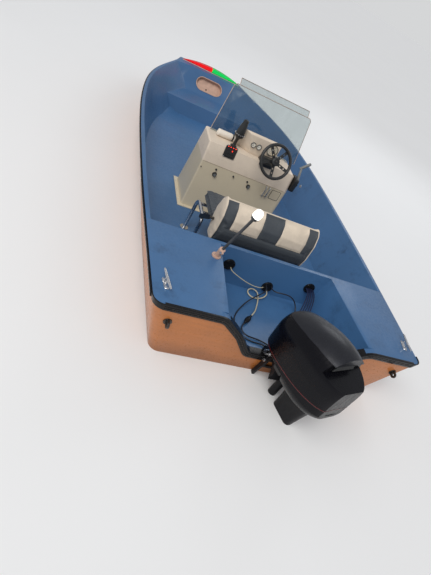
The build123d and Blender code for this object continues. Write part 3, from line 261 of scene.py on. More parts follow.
# The record's slots, then finishes that only the scene has: kind, colour and options
SLOTS = {
    "hull_orange": (gelcoat, ORANGE, dict(streaks=0.35, waterline=0.6)),
    "interior_blue": (gelcoat, BLUE, dict(rough=0.36, smudges=0.75)),
    "rubber_black": (rubber, (0.007, 0.007, 0.008), dict(rough=0.26)),
    "fitting_steel": (metal, (0.72, 0.72, 0.73), {}),
    "pocket_tan": (moulded, (0.52, 0.34, 0.26), dict(rough=0.45)),
    "light_base": (moulded, (0.62, 0.55, 0.50), dict(rough=0.35)),
    "lens_red": (clear, (0.80, 0.01, 0.01), dict(rough=0.08, glow=0.22)),
    "lens_green": (clear, (0.01, 0.55, 0.10), dict(rough=0.08, glow=0.28)),
    "lens_white": (clear, (0.95, 0.95, 0.90), dict(rough=0.2, glow=0.5)),
    # The console's cream is painted darker and yellower below its kink: painted shade on its lower face.
    "console_cream": (gelcoat, CREAM, dict(rough=0.32, smudges=0.3, below=(0.467, (0.80, 0.82, 0.72)))),
    "control_black": (moulded, (0.016, 0.017, 0.018), dict(rough=0.4)),
    "control_grey": (moulded, (0.16, 0.17, 0.17), dict(rough=0.35)),
    "screen_clear": (clear, (0.60, 0.66, 0.66), {}),
    "seat_cream": (vinyl, (0.76, 0.65, 0.52), {}),
    "seat_grey": (vinyl, (0.060, 0.070, 0.082), {}),
    "towel_cream": (vinyl, (0.84, 0.77, 0.68), {}),
    "motor_black": (paint, (0.003, 0.003, 0.005), dict(rough=0.26, coat=0.12, shine=0.14)),
    "motor_lid": (paint, (0.017, 0.018, 0.023), dict(rough=0.36, coat=0.12, fleck=0.3, shine=0.25)),
    "motor_cast": (paint, (0.007, 0.007, 0.009), dict(rough=0.42, coat=0.05, peel=0.0001, shine=0.2)),
    "engine_metal": (metal, (0.3, 0.3, 0.31), dict(rough=0.5)),
    "propeller_metal": (paint, (0.02, 0.02, 0.022), dict(rough=0.35)),
    "cable_black": (moulded, (0.012, 0.013, 0.018), dict(rough=0.4)),
    "cable_blue": (moulded, (0.010, 0.014, 0.045), dict(rough=0.4)),
    "hose_pale": (moulded, (0.48, 0.44, 0.32), dict(rough=0.4)),
}
EXTRA_FINISHES = {
    "dark_steel": (metal, (0.10, 0.095, 0.09), dict(rough=0.4)),
    "stripe_red": (paint, (0.085, 0.008, 0.010), dict(rough=0.3, coat=0.1)),
    # Light pinkish tan for the screen's sheet edges: their edge, with a painted highlight of the light caught
    # along it.
    "cut_edge": (moulded, (0.46, 0.36, 0.30), dict(rough=0.3)),
    "signal_red": (clear, (1.0, 0.03, 0.01), dict(rough=0.3, glow=2.2)),
    "dial_white": (moulded, (0.86, 0.82, 0.72), dict(rough=0.3)),
    "brushed_steel": (metal, (0.62, 0.61, 0.60), dict(rough=0.5)),
    "pole_dark": (moulded, (0.060, 0.060, 0.062), dict(rough=0.35)),
    # Black for the inside of a hole: painted shade.
    "hole_black": (moulded, (0.006, 0.006, 0.006), dict(rough=0.6)),
    "dial_gold": (metal, (0.78, 0.62, 0.36), dict(rough=0.3)),
    # Dark brown for a line of painted shade along a crease.
    "mould_line": (moulded, (0.20, 0.13, 0.07), dict(rough=0.6)),
}


def made(table):
    return {name: kind(name, color, **options) for name, (kind, color, options) in table.items()}


mats = made(SLOTS)
finishes = {**mats, **made(EXTRA_FINISHES)}

# Nodes whose finish in the photograph isn't their slot's
NODE_FINISHES = {
    "light_pole": "pole_dark", "stern_eyes": "dark_steel",
    "seat_arms": "dark_steel", "pole_socket": "pocket_tan",
}

for part in frame["record"]["subparts"]:
    node = part["node"]
    finish = finishes[NODE_FINISHES.get(node, part["material_slot"])]
    for material_slot in frame["nodes"][node].material_slots:
        material_slot.material = finish


# Pieces
def finish_piece(piece, slot, body="boat", replaces=()):
    """Gives a piece its body and its finish, by the record's slot or as one of the scene's own."""
    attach(piece, body)
    if replaces:
        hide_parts(*replaces)
    piece.data.materials.clear()
    piece.data.materials.append(finishes[slot])
    return piece


def link_object(name, data):
    piece = bpy.data.objects.new(name, data)
    bpy.context.scene.collection.objects.link(piece)
    return piece


def mesh_piece(name, mesh, slot, body="boat", replaces=(), sharp=35.0):
    """A bmesh as an object in the boat's frame."""
    data = bpy.data.meshes.new(name)
    bmesh.ops.recalc_face_normals(mesh, faces=mesh.faces)
    mesh.to_mesh(data)
    mesh.free()
    data.shade_smooth()
    data.set_sharp_from_angle(angle=math.radians(sharp))
    return finish_piece(link_object(name, data), slot, body, replaces)


def baked(piece):
    """The piece with its modifiers applied."""
    evaluated = piece.evaluated_get(bpy.context.evaluated_depsgraph_get())
    data = bpy.data.meshes.new_from_object(evaluated)
    piece.modifiers.clear()
    piece.data = data
    return piece


def tube(name, points, radius, slot, body="boat", closed=False, fine=10):
    """A round tube along a smooth line with these control points."""
    data = bpy.data.curves.new(name, "CURVE")
    data.dimensions = "3D"
    data.bevel_depth = 1.0
    data.bevel_resolution = 4
    data.resolution_u = fine
    data.use_fill_caps = True
    spline = data.splines.new("NURBS")
    spline.points.add(len(points) - 1)
    for point, place in zip(spline.points, points):
        point.co = (*place, 1.0)
        point.radius = radius
    spline.order_u = 3
    if closed:
        spline.use_cyclic_u = True
    else:
        spline.use_endpoint_u = True
    return finish_piece(link_object(name, data), slot, body)


def seat_at(origin, x_axis, normal):
    """A local frame at origin, x along x_axis and z along normal."""
    z = Vector(normal).normalized()
    y = z.cross(Vector(x_axis)).normalized()
    turn = Matrix((y.cross(z), y, z)).transposed()
    return Matrix.Translation(origin) @ turn.to_4x4()


def facing_aft(at, lean=0.0):
    """A frame that faces aft and leans up by this angle, x to starboard and y up."""
    return seat_at(at, -Y, (-math.cos(lean), 0, math.sin(lean)))


def join_rings(mesh, rings, closed=False):
    """Skins rings of vertices that have the same count, or one vertex at a tip."""
    pairs = list(zip(rings, rings[1:]))
    if closed:
        pairs.append((rings[-1], rings[0]))
    for low, high in pairs:
        count = max(len(low), len(high))
        for k in range(count):
            after = (k + 1) % count
            if len(low) == 1:
                mesh.faces.new((low[0], high[after], high[k]))
            elif len(high) == 1:
                mesh.faces.new((low[k], low[after], high[0]))
            else:
                mesh.faces.new((low[k], low[after], high[after], high[k]))


def add_turned(mesh, profile, at, segments=32, flutes=0, depth=0.0):
    """Adds a shape turned about its axis from (radius, height) corners, with flutes along it if asked."""
    rings = []
    for radius, height in profile:
        if radius == 0:
            rings.append([mesh.verts.new(at @ Vector((0, 0, height)))])
            continue
        ring = []
        for k in range(segments):
            angle = 2 * math.pi * k / segments
            reach = radius - depth * (0.5 + 0.5 * math.cos(flutes * angle)) if flutes else radius
            corner = Vector((reach * math.cos(angle), reach * math.sin(angle), height))
            ring.append(mesh.verts.new(at @ corner))
        rings.append(ring)
    join_rings(mesh, rings)


def disc(radius, low, high):
    """The profile of a flat disc for add_turned."""
    return [(0, low), (radius, low), (radius, high), (0, high)]


def add_ring(mesh, at, radius, thick, segments=40, sides=10):
    """Adds a torus about the local z axis."""
    rings = []
    for k in range(segments):
        a = 2 * math.pi * k / segments
        ring = []
        for j in range(sides):
            b = 2 * math.pi * j / sides
            reach = radius + thick * math.cos(b)
            corner = Vector((reach * math.cos(a), reach * math.sin(a), thick * math.sin(b)))
            ring.append(mesh.verts.new(at @ corner))
        rings.append(ring)
    join_rings(mesh, rings, closed=True)


def rounded_path(points, radii, steps=6):
    """Straight runs between points, with an arc of the given radius at each inner corner."""
    path = [Vector(points[0])]
    for before, corner, after, radius in zip(points, points[1:], points[2:], radii):
        corner = Vector(corner)
        into = (corner - Vector(before)).normalized()
        out = (Vector(after) - corner).normalized()
        turn = into.angle(out)
        if turn < 1e-4 or radius <= 0:
            path.append(corner)
            continue
        reach = radius * math.tan(turn / 2)
        start = corner - into * reach
        side = (out - into * into.dot(out)).normalized()
        centre = start + side * radius
        for k in range(steps + 1):
            a = turn * k / steps
            path.append(centre - side * radius * math.cos(a) + into * radius * math.sin(a))
    return path + [Vector(points[-1])]


def rounded_box(width, height, radius, steps=5):
    """The outline of a rectangle with rounded corners, about its centre."""
    x, y = width / 2, height / 2
    corners = [(0, -y), (x, -y), (x, y), (-x, y), (-x, -y), (0, -y)]
    return [Vector(p) for p in rounded_path(corners, [radius] * 4, steps)[:-1]]


def add_slab(mesh, outline, at, height, ease=0.001):
    """Adds a plate of this outline with its upper edge eased."""
    middle = sum(outline, Vector((0, 0))) / len(outline)
    levels = ((0.0, 0.0), (height - ease, 0.0), (height - 0.3 * ease, 0.7 * ease), (height, ease))
    rings = []
    for z, inward in levels:
        ring = []
        for point in outline:
            away = point - middle
            drawn = middle + away * (1 - inward / max(abs(away.x), abs(away.y), 1e-6))
            ring.append(mesh.verts.new(at @ Vector((drawn.x, drawn.y, z))))
        rings.append(ring)
    join_rings(mesh, rings)
    mesh.faces.new(rings[0])
    mesh.faces.new(rings[-1])


def turned_piece(name, slot, profile, at, body="boat", replaces=(), **shape):
    """A piece that is one turned shape."""
    mesh = bmesh.new()
    add_turned(mesh, profile, at, **shape)
    return mesh_piece(name, mesh, slot, body, replaces)


def slab_piece(name, slot, outline, at, height, ease=0.001):
    """A piece that is one plate."""
    mesh = bmesh.new()
    add_slab(mesh, outline, at, height, ease)
    return mesh_piece(name, mesh, slot)


# A screw's head, as radius and height for a radius of one
SCREW = ((0.0, 0.0), (1.0, 0.0), (0.96, 0.25), (0.7, 0.5), (0.22, 0.6), (0.2, 0.35), (0.0, 0.35))


def add_screw(mesh, at, radius=0.005):
    add_turned(mesh, [(r * radius, h * radius) for r, h in SCREW], at, segments=16)


def add_corner_screws(mesh, at, x, y, radius):
    for side in (-1, 1):
        for up in (-1, 1):
            add_screw(mesh, at @ moved(side * x, up * y), radius)


def add_pipe(mesh, centres, radii, sides=16):
    """Adds a round bar along these centres, of one radius or one for each, closed at both ends."""
    rings = []
    centres = [Vector(c) for c in centres]
    if isinstance(radii, float):
        radii = [radii] * len(centres)
    for k, (centre, radius) in enumerate(zip(centres, radii)):
        along = centres[min(k + 1, len(centres) - 1)] - centres[max(k - 1, 0)]
        at = seat_at(centre, along.orthogonal(), along)
        rings.append([
            mesh.verts.new(at @ Vector((radius * math.cos(a), radius * math.sin(a), 0)))
            for a in (2 * math.pi * j / sides for j in range(sides))
        ])
    join_rings(mesh, rings)
    mesh.faces.new(rings[0])
    mesh.faces.new(rings[-1])


HARD_EDGE = math.radians(32)


def softened(node, slot, width):
    """A CAD solid with its hard edges eased, shown in its place."""
    mesh = bmesh.new()
    mesh.from_mesh(frame["nodes"][node].data)
    bmesh.ops.remove_doubles(mesh, verts=mesh.verts, dist=2e-5)
    bmesh.ops.dissolve_limit(mesh, angle_limit=math.radians(1.0), verts=mesh.verts, edges=mesh.edges)
    inner = [edge for edge in mesh.edges if len(edge.link_faces) == 2]
    hard = [edge for edge in inner if edge.calc_face_angle() > HARD_EDGE]
    bmesh.ops.bevel(
        mesh, geom=hard, offset=width, offset_type="OFFSET", segments=2, profile=0.6, affect="EDGES",
        clamp_overlap=True,
    )
    bmesh.ops.triangulate(mesh, faces=[face for face in mesh.faces if len(face.verts) > 4])
    return mesh_piece(node + "_eased", mesh, slot, replaces=[node])


# Cables and hoses in the stern well: their radii, then their routes in millimetres
CABLE = 0.0045
WIRE = 0.003
# x, y, spread of the bundle and z
CONTROL_ROUTE = (
    (649, -343, 1, 288), (612, -343, 1, 288), (566, -330, 1.1, 280), (505, -304, 1.25, 257),
    (438, -266, 1.4, 226), (370, -224, 1.3, 192), (302, -182, 1.15, 162), (235, -138, 1, 143),
    (180, -104, 0.85, 138), (145, -88, 0.8, 138), (124.6, -88, 0.8, 138),
)
BATTERY_ROUTES = (
    (
        (649, -16, 214), (612, -16, 214), (576, 8, 212), (547, 48, 200),
        (520, 96, 181), (484, 148, 158), (436, 194, 142), (380, 236, 136),
        (318, 264, 135), (258, 268, 135), (208, 246, 135), (174, 208, 135),
        (158, 164, 135), (155, 120, 136), (147, 82, 138), (128, 57, 138),
    ),
    (
        (649, -60, 213), (620, -60, 213), (594, -74, 220), (580, -106, 231),
        (575, -148, 238), (572, -190, 234), (564, -228, 216), (544, -254, 188),
        (510, -258, 160), (466, -242, 142), (410, -208, 136), (350, -164, 135),
        (290, -116, 135), (236, -72, 135), (186, -36, 136), (156, -20, 138),
        (124.3, -20, 138),
    ),
)
FUEL_ROUTE_TO_BULB = (
    (649, -42, 172), (622, -42, 172), (595, -32, 166), (575, -6, 155),
    (567, 28, 144), (569, 62, 138), (583, 93, 139), (612, 106, 144),
    (639, 89, 150), (645, 56, 155), (621, 31, 157), (584, 29, 153),
    (534, 40, 147), (470, 64, 141), (416, 92, 145), (370.5, 130.8, 148.4),
)
FUEL_ROUTE_FROM_BULB = (
    (291.5, 199.2, 148.4), (268, 219, 148), (239, 230, 145), (210, 218, 141),
    (194, 186, 138), (190, 146, 137), (183, 104, 137), (167, 66, 138),
    (149, 40, 138), (127.1, 24.5, 138),
)
WIRE_ROUTE = (
    (649, 300, 274), (635, 300, 273), (623, 293, 269), (616, 274, 262),
    (613, 242, 250), (612, 200, 234), (612, 156, 219), (614, 112, 207),
    (619, 70, 198), (627, 32, 193), (636, 9, 191), (647.2, -6, 190),
)
# Distance between two control cables, in millimetres
CABLE_PITCH = 14
CONTROL_LENGTHS = (0.620, 0.618, 0.615, 0.613, 0.612)
BATTERY_LENGTHS = (0.783, 0.768)


def metres(points):
    return [tuple(value / 1000 for value in point) for point in points]


def add_cord(
    name, points, radius, slot, node,
):
    piece = tube(name, points, radius, slot)
    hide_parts(node)
    return piece


def add_cables():
    for number, length in enumerate(CONTROL_LENGTHS):
        side = (number - 2) * CABLE_PITCH
        route = metres([(x, y + side * spread, z) for x, y, spread, z in CONTROL_ROUTE])
        name = f"control_cable_{number + 1}"
        add_cord(name, route, CABLE, "cable_blue", "control_cables")
    for number, (route, length) in enumerate(zip(BATTERY_ROUTES, BATTERY_LENGTHS)):
        name = f"battery_cable_{number + 1}"
        add_cord(name, metres(route), CABLE, "cable_black", "battery_cables")
    to_bulb = metres(FUEL_ROUTE_TO_BULB)
    add_cord("fuel_hose_1", to_bulb, CABLE, "hose_pale", "fuel_hose")
    from_bulb = metres(FUEL_ROUTE_FROM_BULB)
    add_cord("fuel_hose_2", from_bulb, CABLE, "cable_black", "fuel_hose")
    add_cord("gland_wire_line", metres(WIRE_ROUTE), WIRE, "hose_pale", "gland_wire")


add_cables()


# Eased edges on the mouldings that show
for node, slot, width in (
    ("hull_skin", "hull_orange", 0.003), ("cockpit_liner", "interior_blue", 0.005),
    ("aft_deck", "interior_blue", 0.006), ("console", "console_cream", 0.004),
    ("instrument_pod", "console_cream", 0.005), ("transom_edging", "rubber_black", 0.0015),
    ("throttle_box", "control_black", 0.003), ("helm", "control_black", 0.004),
    ("bow_light_base", "light_base", 0.002),
):
    softened(node, slot, width)


# Padded seat: a stuffed cover, panels sewn on it, and piping along its seams
VOXEL = 0.006
SIM_FRAMES = 20
# How far a cover is drawn in before it is blown up
COVER_INSET = 0.006


def near(value, places, width):
    """1 on a seam at one of these places, falling to 0 away from it."""
    return max((math.exp(-((value - place) / width) ** 2) for place in places), default=0.0)


def stuffed(name, node, slot, cap, held, seam):
    """A cover blown up from the CAD solid by no more than cap, kept in along its seams and where held."""
    start = frame["nodes"][node].data.copy()
    mesh = bmesh.new()
    mesh.from_mesh(start)
    bmesh.ops.remove_doubles(mesh, verts=mesh.verts, dist=2e-5)
    mesh.to_mesh(start)
    mesh.free()
    piece = link_object(name, start)
    remesh = piece.modifiers.new("remesh", "REMESH")
    remesh.mode = "VOXEL"
    remesh.voxel_size = VOXEL
    baked(piece)
    normals = [vertex.normal.copy() for vertex in piece.data.vertices]
    for vertex, normal in zip(piece.data.vertices, normals):
        vertex.co -= normal * COVER_INSET
    rest = [vertex.co.copy() for vertex in piece.data.vertices]
    swollen = blown(piece, [k for k, place in enumerate(rest) if held(place)])
    for vertex, place, full in zip(piece.data.vertices, rest, swollen):
        move = full - place
        reach = min(move.length, cap)
        vertex.co = place + move.normalized() * reach * (1 - seam(place))
    smooth = piece.modifiers.new("smooth", "SUBSURF")
    smooth.levels = smooth.render_levels = 1
    baked(piece).data.shade_smooth()
    finish_piece(piece, slot, replaces=[node])
    return piece


def blown(piece, fixed):
    """Where each vertex lies once the cover has been blown up as cloth."""
    piece.vertex_groups.new(name="fixed").add(fixed, 1.0, "REPLACE")
    cloth = piece.modifiers.new("cloth", "CLOTH")
    cloth.settings.vertex_group_mass = "fixed"
    cloth.settings.use_pressure = True
    cloth.settings.uniform_pressure_force = 4.0
    cloth.settings.effector_weights.gravity = 0.0
    cloth.point_cache.frame_end = SIM_FRAMES
    for number in range(1, SIM_FRAMES + 1):
        bpy.context.scene.frame_set(number)
    evaluated = piece.evaluated_get(bpy.context.evaluated_depsgraph_get())
    places = [vertex.co.copy() for vertex in evaluated.data.vertices]
    piece.modifiers.clear()
    piece.vertex_groups.clear()
    bpy.context.scene.frame_set(1)
    return places


def past(axis, value):
    """The plane across an axis that keeps what lies past this value."""
    return axis * value, axis


def short_of(axis, value):
    """The plane across an axis that keeps what lies short of this value."""
    return axis * value, -axis


def cut(source, planes, keep=None):
    """The part of a piece's skin that lies ahead of each plane, given as (point, normal)."""
    mesh = bmesh.new()
    mesh.from_mesh(source.data)
    for point, normal in planes:
        whole = mesh.verts[:] + mesh.edges[:] + mesh.faces[:]
        bmesh.ops.bisect_plane(mesh, geom=whole, plane_co=point, plane_no=normal, clear_inner=True)
    if keep:
        bmesh.ops.delete(mesh, geom=[face for face in mesh.faces if not keep(face)], context="FACES")
    mesh.normal_update()
    return mesh


def add_panel(name, source, planes, slot, proud=0.0012, body="boat", keep=None):
    """A panel that lies on a piece's skin, with its edges turned down into it."""
    mesh = cut(source, planes, keep)
    edges = [edge for edge in mesh.edges if edge.is_boundary]
    for vertex in mesh.verts:
        vertex.co += vertex.normal * proud
    rim = bmesh.ops.extrude_edge_only(mesh, edges=edges)["geom"]
    for vertex in (item for item in rim if isinstance(item, bmesh.types.BMVert)):
        vertex.co -= vertex.link_edges[0].other_vert(vertex).normal * (proud + 0.0006)
    return mesh_piece(name, mesh, slot, body, sharp=60.0)


def seam_lines(source, planes, keep=None):
    """The longest open or closed line along which the last of the planes cuts a piece's skin."""
    mesh = cut(source, planes, keep)
    point, normal = planes[-1]
    point, normal = Vector(point), Vector(normal)

    def on_plane(edge):
        return all(abs((v.co - point).dot(normal)) < 1e-5 for v in edge.verts)

    left = {edge for edge in mesh.edges if edge.is_boundary and on_plane(edge)}
    lines = []
    while left:
        ends = {}
        for edge in left:
            for vertex in edge.verts:
                ends[vertex] = ends.get(vertex, 0) + 1
        single = [vertex for vertex, count in ends.items() if count == 1]
        vertex = min(single or ends, key=lambda v: v.index)
        line = [vertex.co.copy()]
        while True:
            ahead = next((edge for edge in vertex.link_edges if edge in left), None)
            if ahead is None:
                break
            left.remove(ahead)
            vertex = ahead.other_vert(vertex)
            line.append(vertex.co.copy())
        lines.append(line)
    mesh.free()
    return max(lines, key=len)


def add_piping(name, source, planes, radius, slot, keep=None, every=3):
    """Piping sewn along the line where the last of the planes cuts a piece's skin."""
    line = seam_lines(source, planes, keep)
    closed = (line[0] - line[-1]).length < 1e-4
    points = line[:-1:every] if closed else line[::every] + [line[-1]]
    return tube(name, points, radius, slot, closed=closed, fine=2)


# Backrest: y of its two panels and of its end seams
BACK_PORT = (0.151, 0.365)
BACK_STARBOARD = (-0.216, -0.004)
BACK_END_PORT = 0.446
BACK_END_STARBOARD = -0.297
# Height of the panels' foot, x that they stay short of, and height below which the cover is held
BACK_PANEL_LOW = 0.436
BACK_REAR_X = 0.93
BACK_HELD_Z = 0.31
# Plane of the band over the backrest's top
BAND_POINT = Vector((0.905, 0.0, 0.611))
BAND_NORMAL = Vector((0.7, 0.0, 0.714))


def back_seam(place):
    """How closely a point of the backrest lies to one of its seams."""
    ahead = (place - BAND_POINT).dot(BAND_NORMAL)
    sides = near(place.y, (BACK_END_PORT, BACK_END_STARBOARD), 0.012)
    on_panels = place.z > BACK_PANEL_LOW and ahead < 0.01
    panels = near(place.y, BACK_PORT + BACK_STARBOARD, 0.010) if on_panels else 0.0
    low = near(place.z, (BACK_PANEL_LOW,), 0.010) if place.x < 0.9 else 0.0
    return 0.85 * max(sides, 0.8 * panels, 0.6 * low, near(ahead, (0.0,), 0.008))


def add_backrest():
    cover = stuffed(
        "seat_back_cover", "seat_backrest", "seat_grey", 0.010,
        lambda place: place.z < BACK_HELD_Z, back_seam,
    )
    aft = (BAND_POINT, -BAND_NORMAL)
    ahead = (BAND_POINT, BAND_NORMAL)
    low = past(Z, BACK_PANEL_LOW)
    rear = short_of(X, BACK_REAR_X)
    for name, (y0, y1) in (("port", BACK_PORT), ("starboard", BACK_STARBOARD)):
        sides = [past(Y, y0), short_of(Y, y1)]
        add_panel(f"seat_back_panel_{name}", cover, [rear, aft, low, *sides], "seat_cream")
        for edge, planes in (
            ("inner", [rear, aft, low, *reversed(sides)]), ("outer", [rear, aft, low, *sides]),
            ("foot", [rear, aft, *sides, low]),
        ):
            add_piping(f"seat_back_seam_{name}_{edge}", cover, planes, 0.0018, "seat_grey")
    band = [past(Y, BACK_END_STARBOARD), short_of(Y, BACK_END_PORT), ahead]
    add_panel("seat_back_band", cover, band, "seat_cream")
    add_piping("seat_back_band_piping", cover, band, 0.0032, "seat_cream", lambda f: f.normal.x < 0.9)
    end = past(Y, BACK_END_PORT)
    add_panel("seat_back_end_port", cover, [end], "seat_cream")
    for name, plane in (("port", end), ("starboard", short_of(Y, BACK_END_STARBOARD))):
        add_piping(f"seat_back_piping_{name}", cover, [plane], 0.0042, "seat_cream")


# Cushion: its piping's distance from its edges, its panels' from there, their depth, and the height held
CUSHION_EDGE = 0.020
CUSHION_BORDER = 0.03
CUSHION_PANEL_DEPTH = 0.03
CUSHION_HELD = 0.012


def add_cushion():
    low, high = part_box("seat_cushion")
    thirds = [low.y + (high.y - low.y) * k / 3 for k in (1, 2)]
    x0, x1 = low.x + CUSHION_EDGE, high.x - CUSHION_EDGE
    y0, y1 = low.y + CUSHION_EDGE, high.y - CUSHION_EDGE
    border_x = (x0 + CUSHION_BORDER, x1 - CUSHION_BORDER)
    border_y = (y0 + CUSHION_BORDER, y1 - CUSHION_BORDER)
    pipings = (("top", high.z - CUSHION_EDGE), ("foot", low.z + CUSHION_EDGE))
    top = high.z - CUSHION_PANEL_DEPTH

    def seam(place):
        rim = near(place.z, [z for name, z in pipings], 0.006)
        channels = near(place.y, thirds, 0.009) if place.z > top and x0 < place.x < x1 else 0.0
        border = max(near(place.x, border_x, 0.009), near(place.y, border_y, 0.009))
        return 0.85 * max(rim, 0.9 * channels, 0.7 * border if place.z > top else 0.0)

    cover = stuffed(
        "seat_cushion_cover", "seat_cushion", "seat_grey", 0.012,
        lambda place: place.z < low.z + CUSHION_HELD, seam,
    )
    flat = [past(Z, top), past(X, border_x[0]), short_of(X, border_x[1])]
    bounds = (border_y[0], *thirds, border_y[1])
    for number, (start, end) in enumerate(zip(bounds, bounds[1:])):
        planes = [*flat, past(Y, start), short_of(Y, end)]
        add_panel(f"seat_cushion_panel_{number + 1}", cover, planes, "seat_grey")
    for number, y in enumerate(thirds):
        planes = [*flat, past(Y, y)]
        add_piping(f"seat_cushion_channel_{number + 1}", cover, planes, 0.0016, "seat_grey")
    for name, z in pipings:
        add_piping(f"seat_cushion_piping_{name}", cover, [past(Z, z)], 0.0035, "seat_grey")


add_backrest()
add_cushion()


# Console: its aft faces from the foot over the kink to the top edge, as x and z
FACE_FOOT = (1.630, 0.040)
FACE_KINK = (1.641, 0.467)
FACE_TOP = (1.676, 0.620)


def on_face(low, high, y, z, proud=0.0):
    """A frame on a console face at y and height z, x to starboard, y up and z outward."""
    lean = math.atan2(high[0] - low[0], high[1] - low[1])
    x = low[0] + (z - low[1]) * math.tan(lean)
    return facing_aft((x, y, z), lean) @ moved(0, 0, proud)


def on_lower(y, z, proud=0.0):
    return on_face(FACE_FOOT, FACE_KINK, y, z, proud)


SWITCH_AT = (0.294, 0.598)
SWITCH_PROUD = 0.0063
KEY_PROUD = 0.0103


def add_switches():
    def panel(x, y, proud):
        return on_face(FACE_KINK, FACE_TOP, *SWITCH_AT, proud=proud) @ moved(x, y)

    lights = bmesh.new()
    for y, size, columns in ((0.038, 0.0065, (-0.033, -0.011, 0.011, 0.033)), (0.012, 0.009, (0.012,))):
        for x in columns:
            add_slab(lights, rounded_box(size, size, 0.0015), panel(x, y, SWITCH_PROUD), 0.0025)
    mesh_piece("switch_lights", lights, "signal_red")
    rockers = bmesh.new()
    for x in (-0.024, 0.0, 0.024):
        for y in (-0.030, -0.008):
            for half in (-1, 1):
                at = panel(x, y + half * 0.0052, KEY_PROUD) @ turned(-half * 0.2, "X")
                add_slab(rockers, rounded_box(0.0125, 0.0095, 0.0015), at, 0.0022)
    mesh_piece("switch_rockers", rockers, "control_black")
    screws = bmesh.new()
    add_corner_screws(screws, panel(0, 0, SWITCH_PROUD), 0.045, 0.0425, 0.0028)
    mesh_piece("switch_screws", screws, "fitting_steel")


# y, z, radius and stand-off of each knob
KNOBS = (
    (0.335, 0.393, 0.020, 0.016), (0.341, 0.436, 0.008, 0.012), (0.182, 0.433, 0.008, 0.012),
    (0.051, 0.434, 0.008, 0.012), (0.023, 0.399, 0.018, 0.014), (0.465, 0.414, 0.005, 0.006),
)


def add_knobs():
    knobs = bmesh.new()
    caps = bmesh.new()
    for y, z, radius, reach in KNOBS:
        at = on_lower(y, z, 0.0003)
        skirt = [(0, 0), (radius, 0), (radius, 0.0022), (0.84 * radius, 0.0036)]
        grip = [(0.8 * radius, 0.6 * reach), (0.78 * radius, 0.94 * reach), (0.7 * radius, reach)]
        add_turned(
            knobs, [*skirt, *grip, (0, reach)], at, segments=48, flutes=12, depth=0.07 * radius,
        )
        if radius > 0.015:
            cap = [(0.6 * radius, 0), (0.58 * radius, 0.0008), (0.1 * radius, 0.0012), (0, 0.0012)]
            add_turned(caps, cap, at @ moved(0, 0, reach))
    mesh_piece("knob_set", knobs, "control_black", replaces=["console_knobs"])
    mesh_piece("knob_caps", caps, "control_grey")


# Grab bars: their y, the heights of their ends, how far they stand off, their bend and their radius
GRAB_BARS = (-0.122, -0.154)
GRAB_Z = (0.372, 0.460)
GRAB_REACH = 0.022
GRAB_BEND = 0.012
GRAB_RADIUS = 0.0055
# y, z, width and height of the small hatch
HATCH = (-0.235, 0.408, 0.090, 0.086)
# y of the ends of the dark line at the console's kink, painted shade along its crease
KINK_ENDS = (0.474, -0.292)
# Screws in the console's foot flange: y of those astern, x of those at its sides, and their height
FLANGE_SCREW_Y = (-0.30, 0.0, 0.15, 0.30, 0.45)
FLANGE_SCREW_X = (1.70, 1.84, 1.98)
FLANGE_SCREW_Z = 0.0463


def add_console_fittings():
    bars = bmesh.new()
    for y in GRAB_BARS:
        low, high = GRAB_Z
        ends = [(low, 0.0), (low, GRAB_REACH), (high, GRAB_REACH), (high, 0.0)]
        corners = [on_lower(y, z, proud).translation for z, proud in ends]
        add_pipe(bars, rounded_path(corners, [GRAB_BEND] * 2), GRAB_RADIUS)
    mesh_piece("console_grab_bars", bars, "brushed_steel")
    y, z, width, height = HATCH
    seal = rounded_box(width, height, 0.008)
    slab_piece("console_hatch_seal", "control_black", seal, on_lower(y, z, 0.0002), 0.0016)
    lid = rounded_box(width - 0.008, height - 0.008, 0.006)
    slab_piece("console_hatch", "console_cream", lid, on_lower(y, z, 0.0014), 0.0022, 0.0012)
    screws = bmesh.new()
    add_corner_screws(screws, on_lower(y, z, 0.0034), width / 2 - 0.009, height / 2 - 0.009, 0.0026)
    # A dark line along the console's kink: painted shade in its crease.
    kink = bmesh.new()
    add_pipe(kink, [on_lower(y, FACE_KINK[1]).translation for y in KINK_ENDS], 0.0013, 8)
    mesh_piece("console_kink_shade_line", kink, "mould_line")
    low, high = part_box("console")
    for y in FLANGE_SCREW_Y:
        add_screw(screws, moved(low.x + 0.012, y, FLANGE_SCREW_Z))
    for x in FLANGE_SCREW_X:
        for y in (low.y + 0.013, high.y - 0.013):
            add_screw(screws, moved(x, y, FLANGE_SCREW_Z))
    mesh_piece("console_screws", screws, "fitting_steel")


# y, z and radius of each instrument on the pod
GAUGES = ((0.118, 0.6963, 0.022), (0.066, 0.6963, 0.022), (-0.052, 0.7143, 0.048))
POD_FACE_X = 1.752
LARGE_GAUGE = 0.03


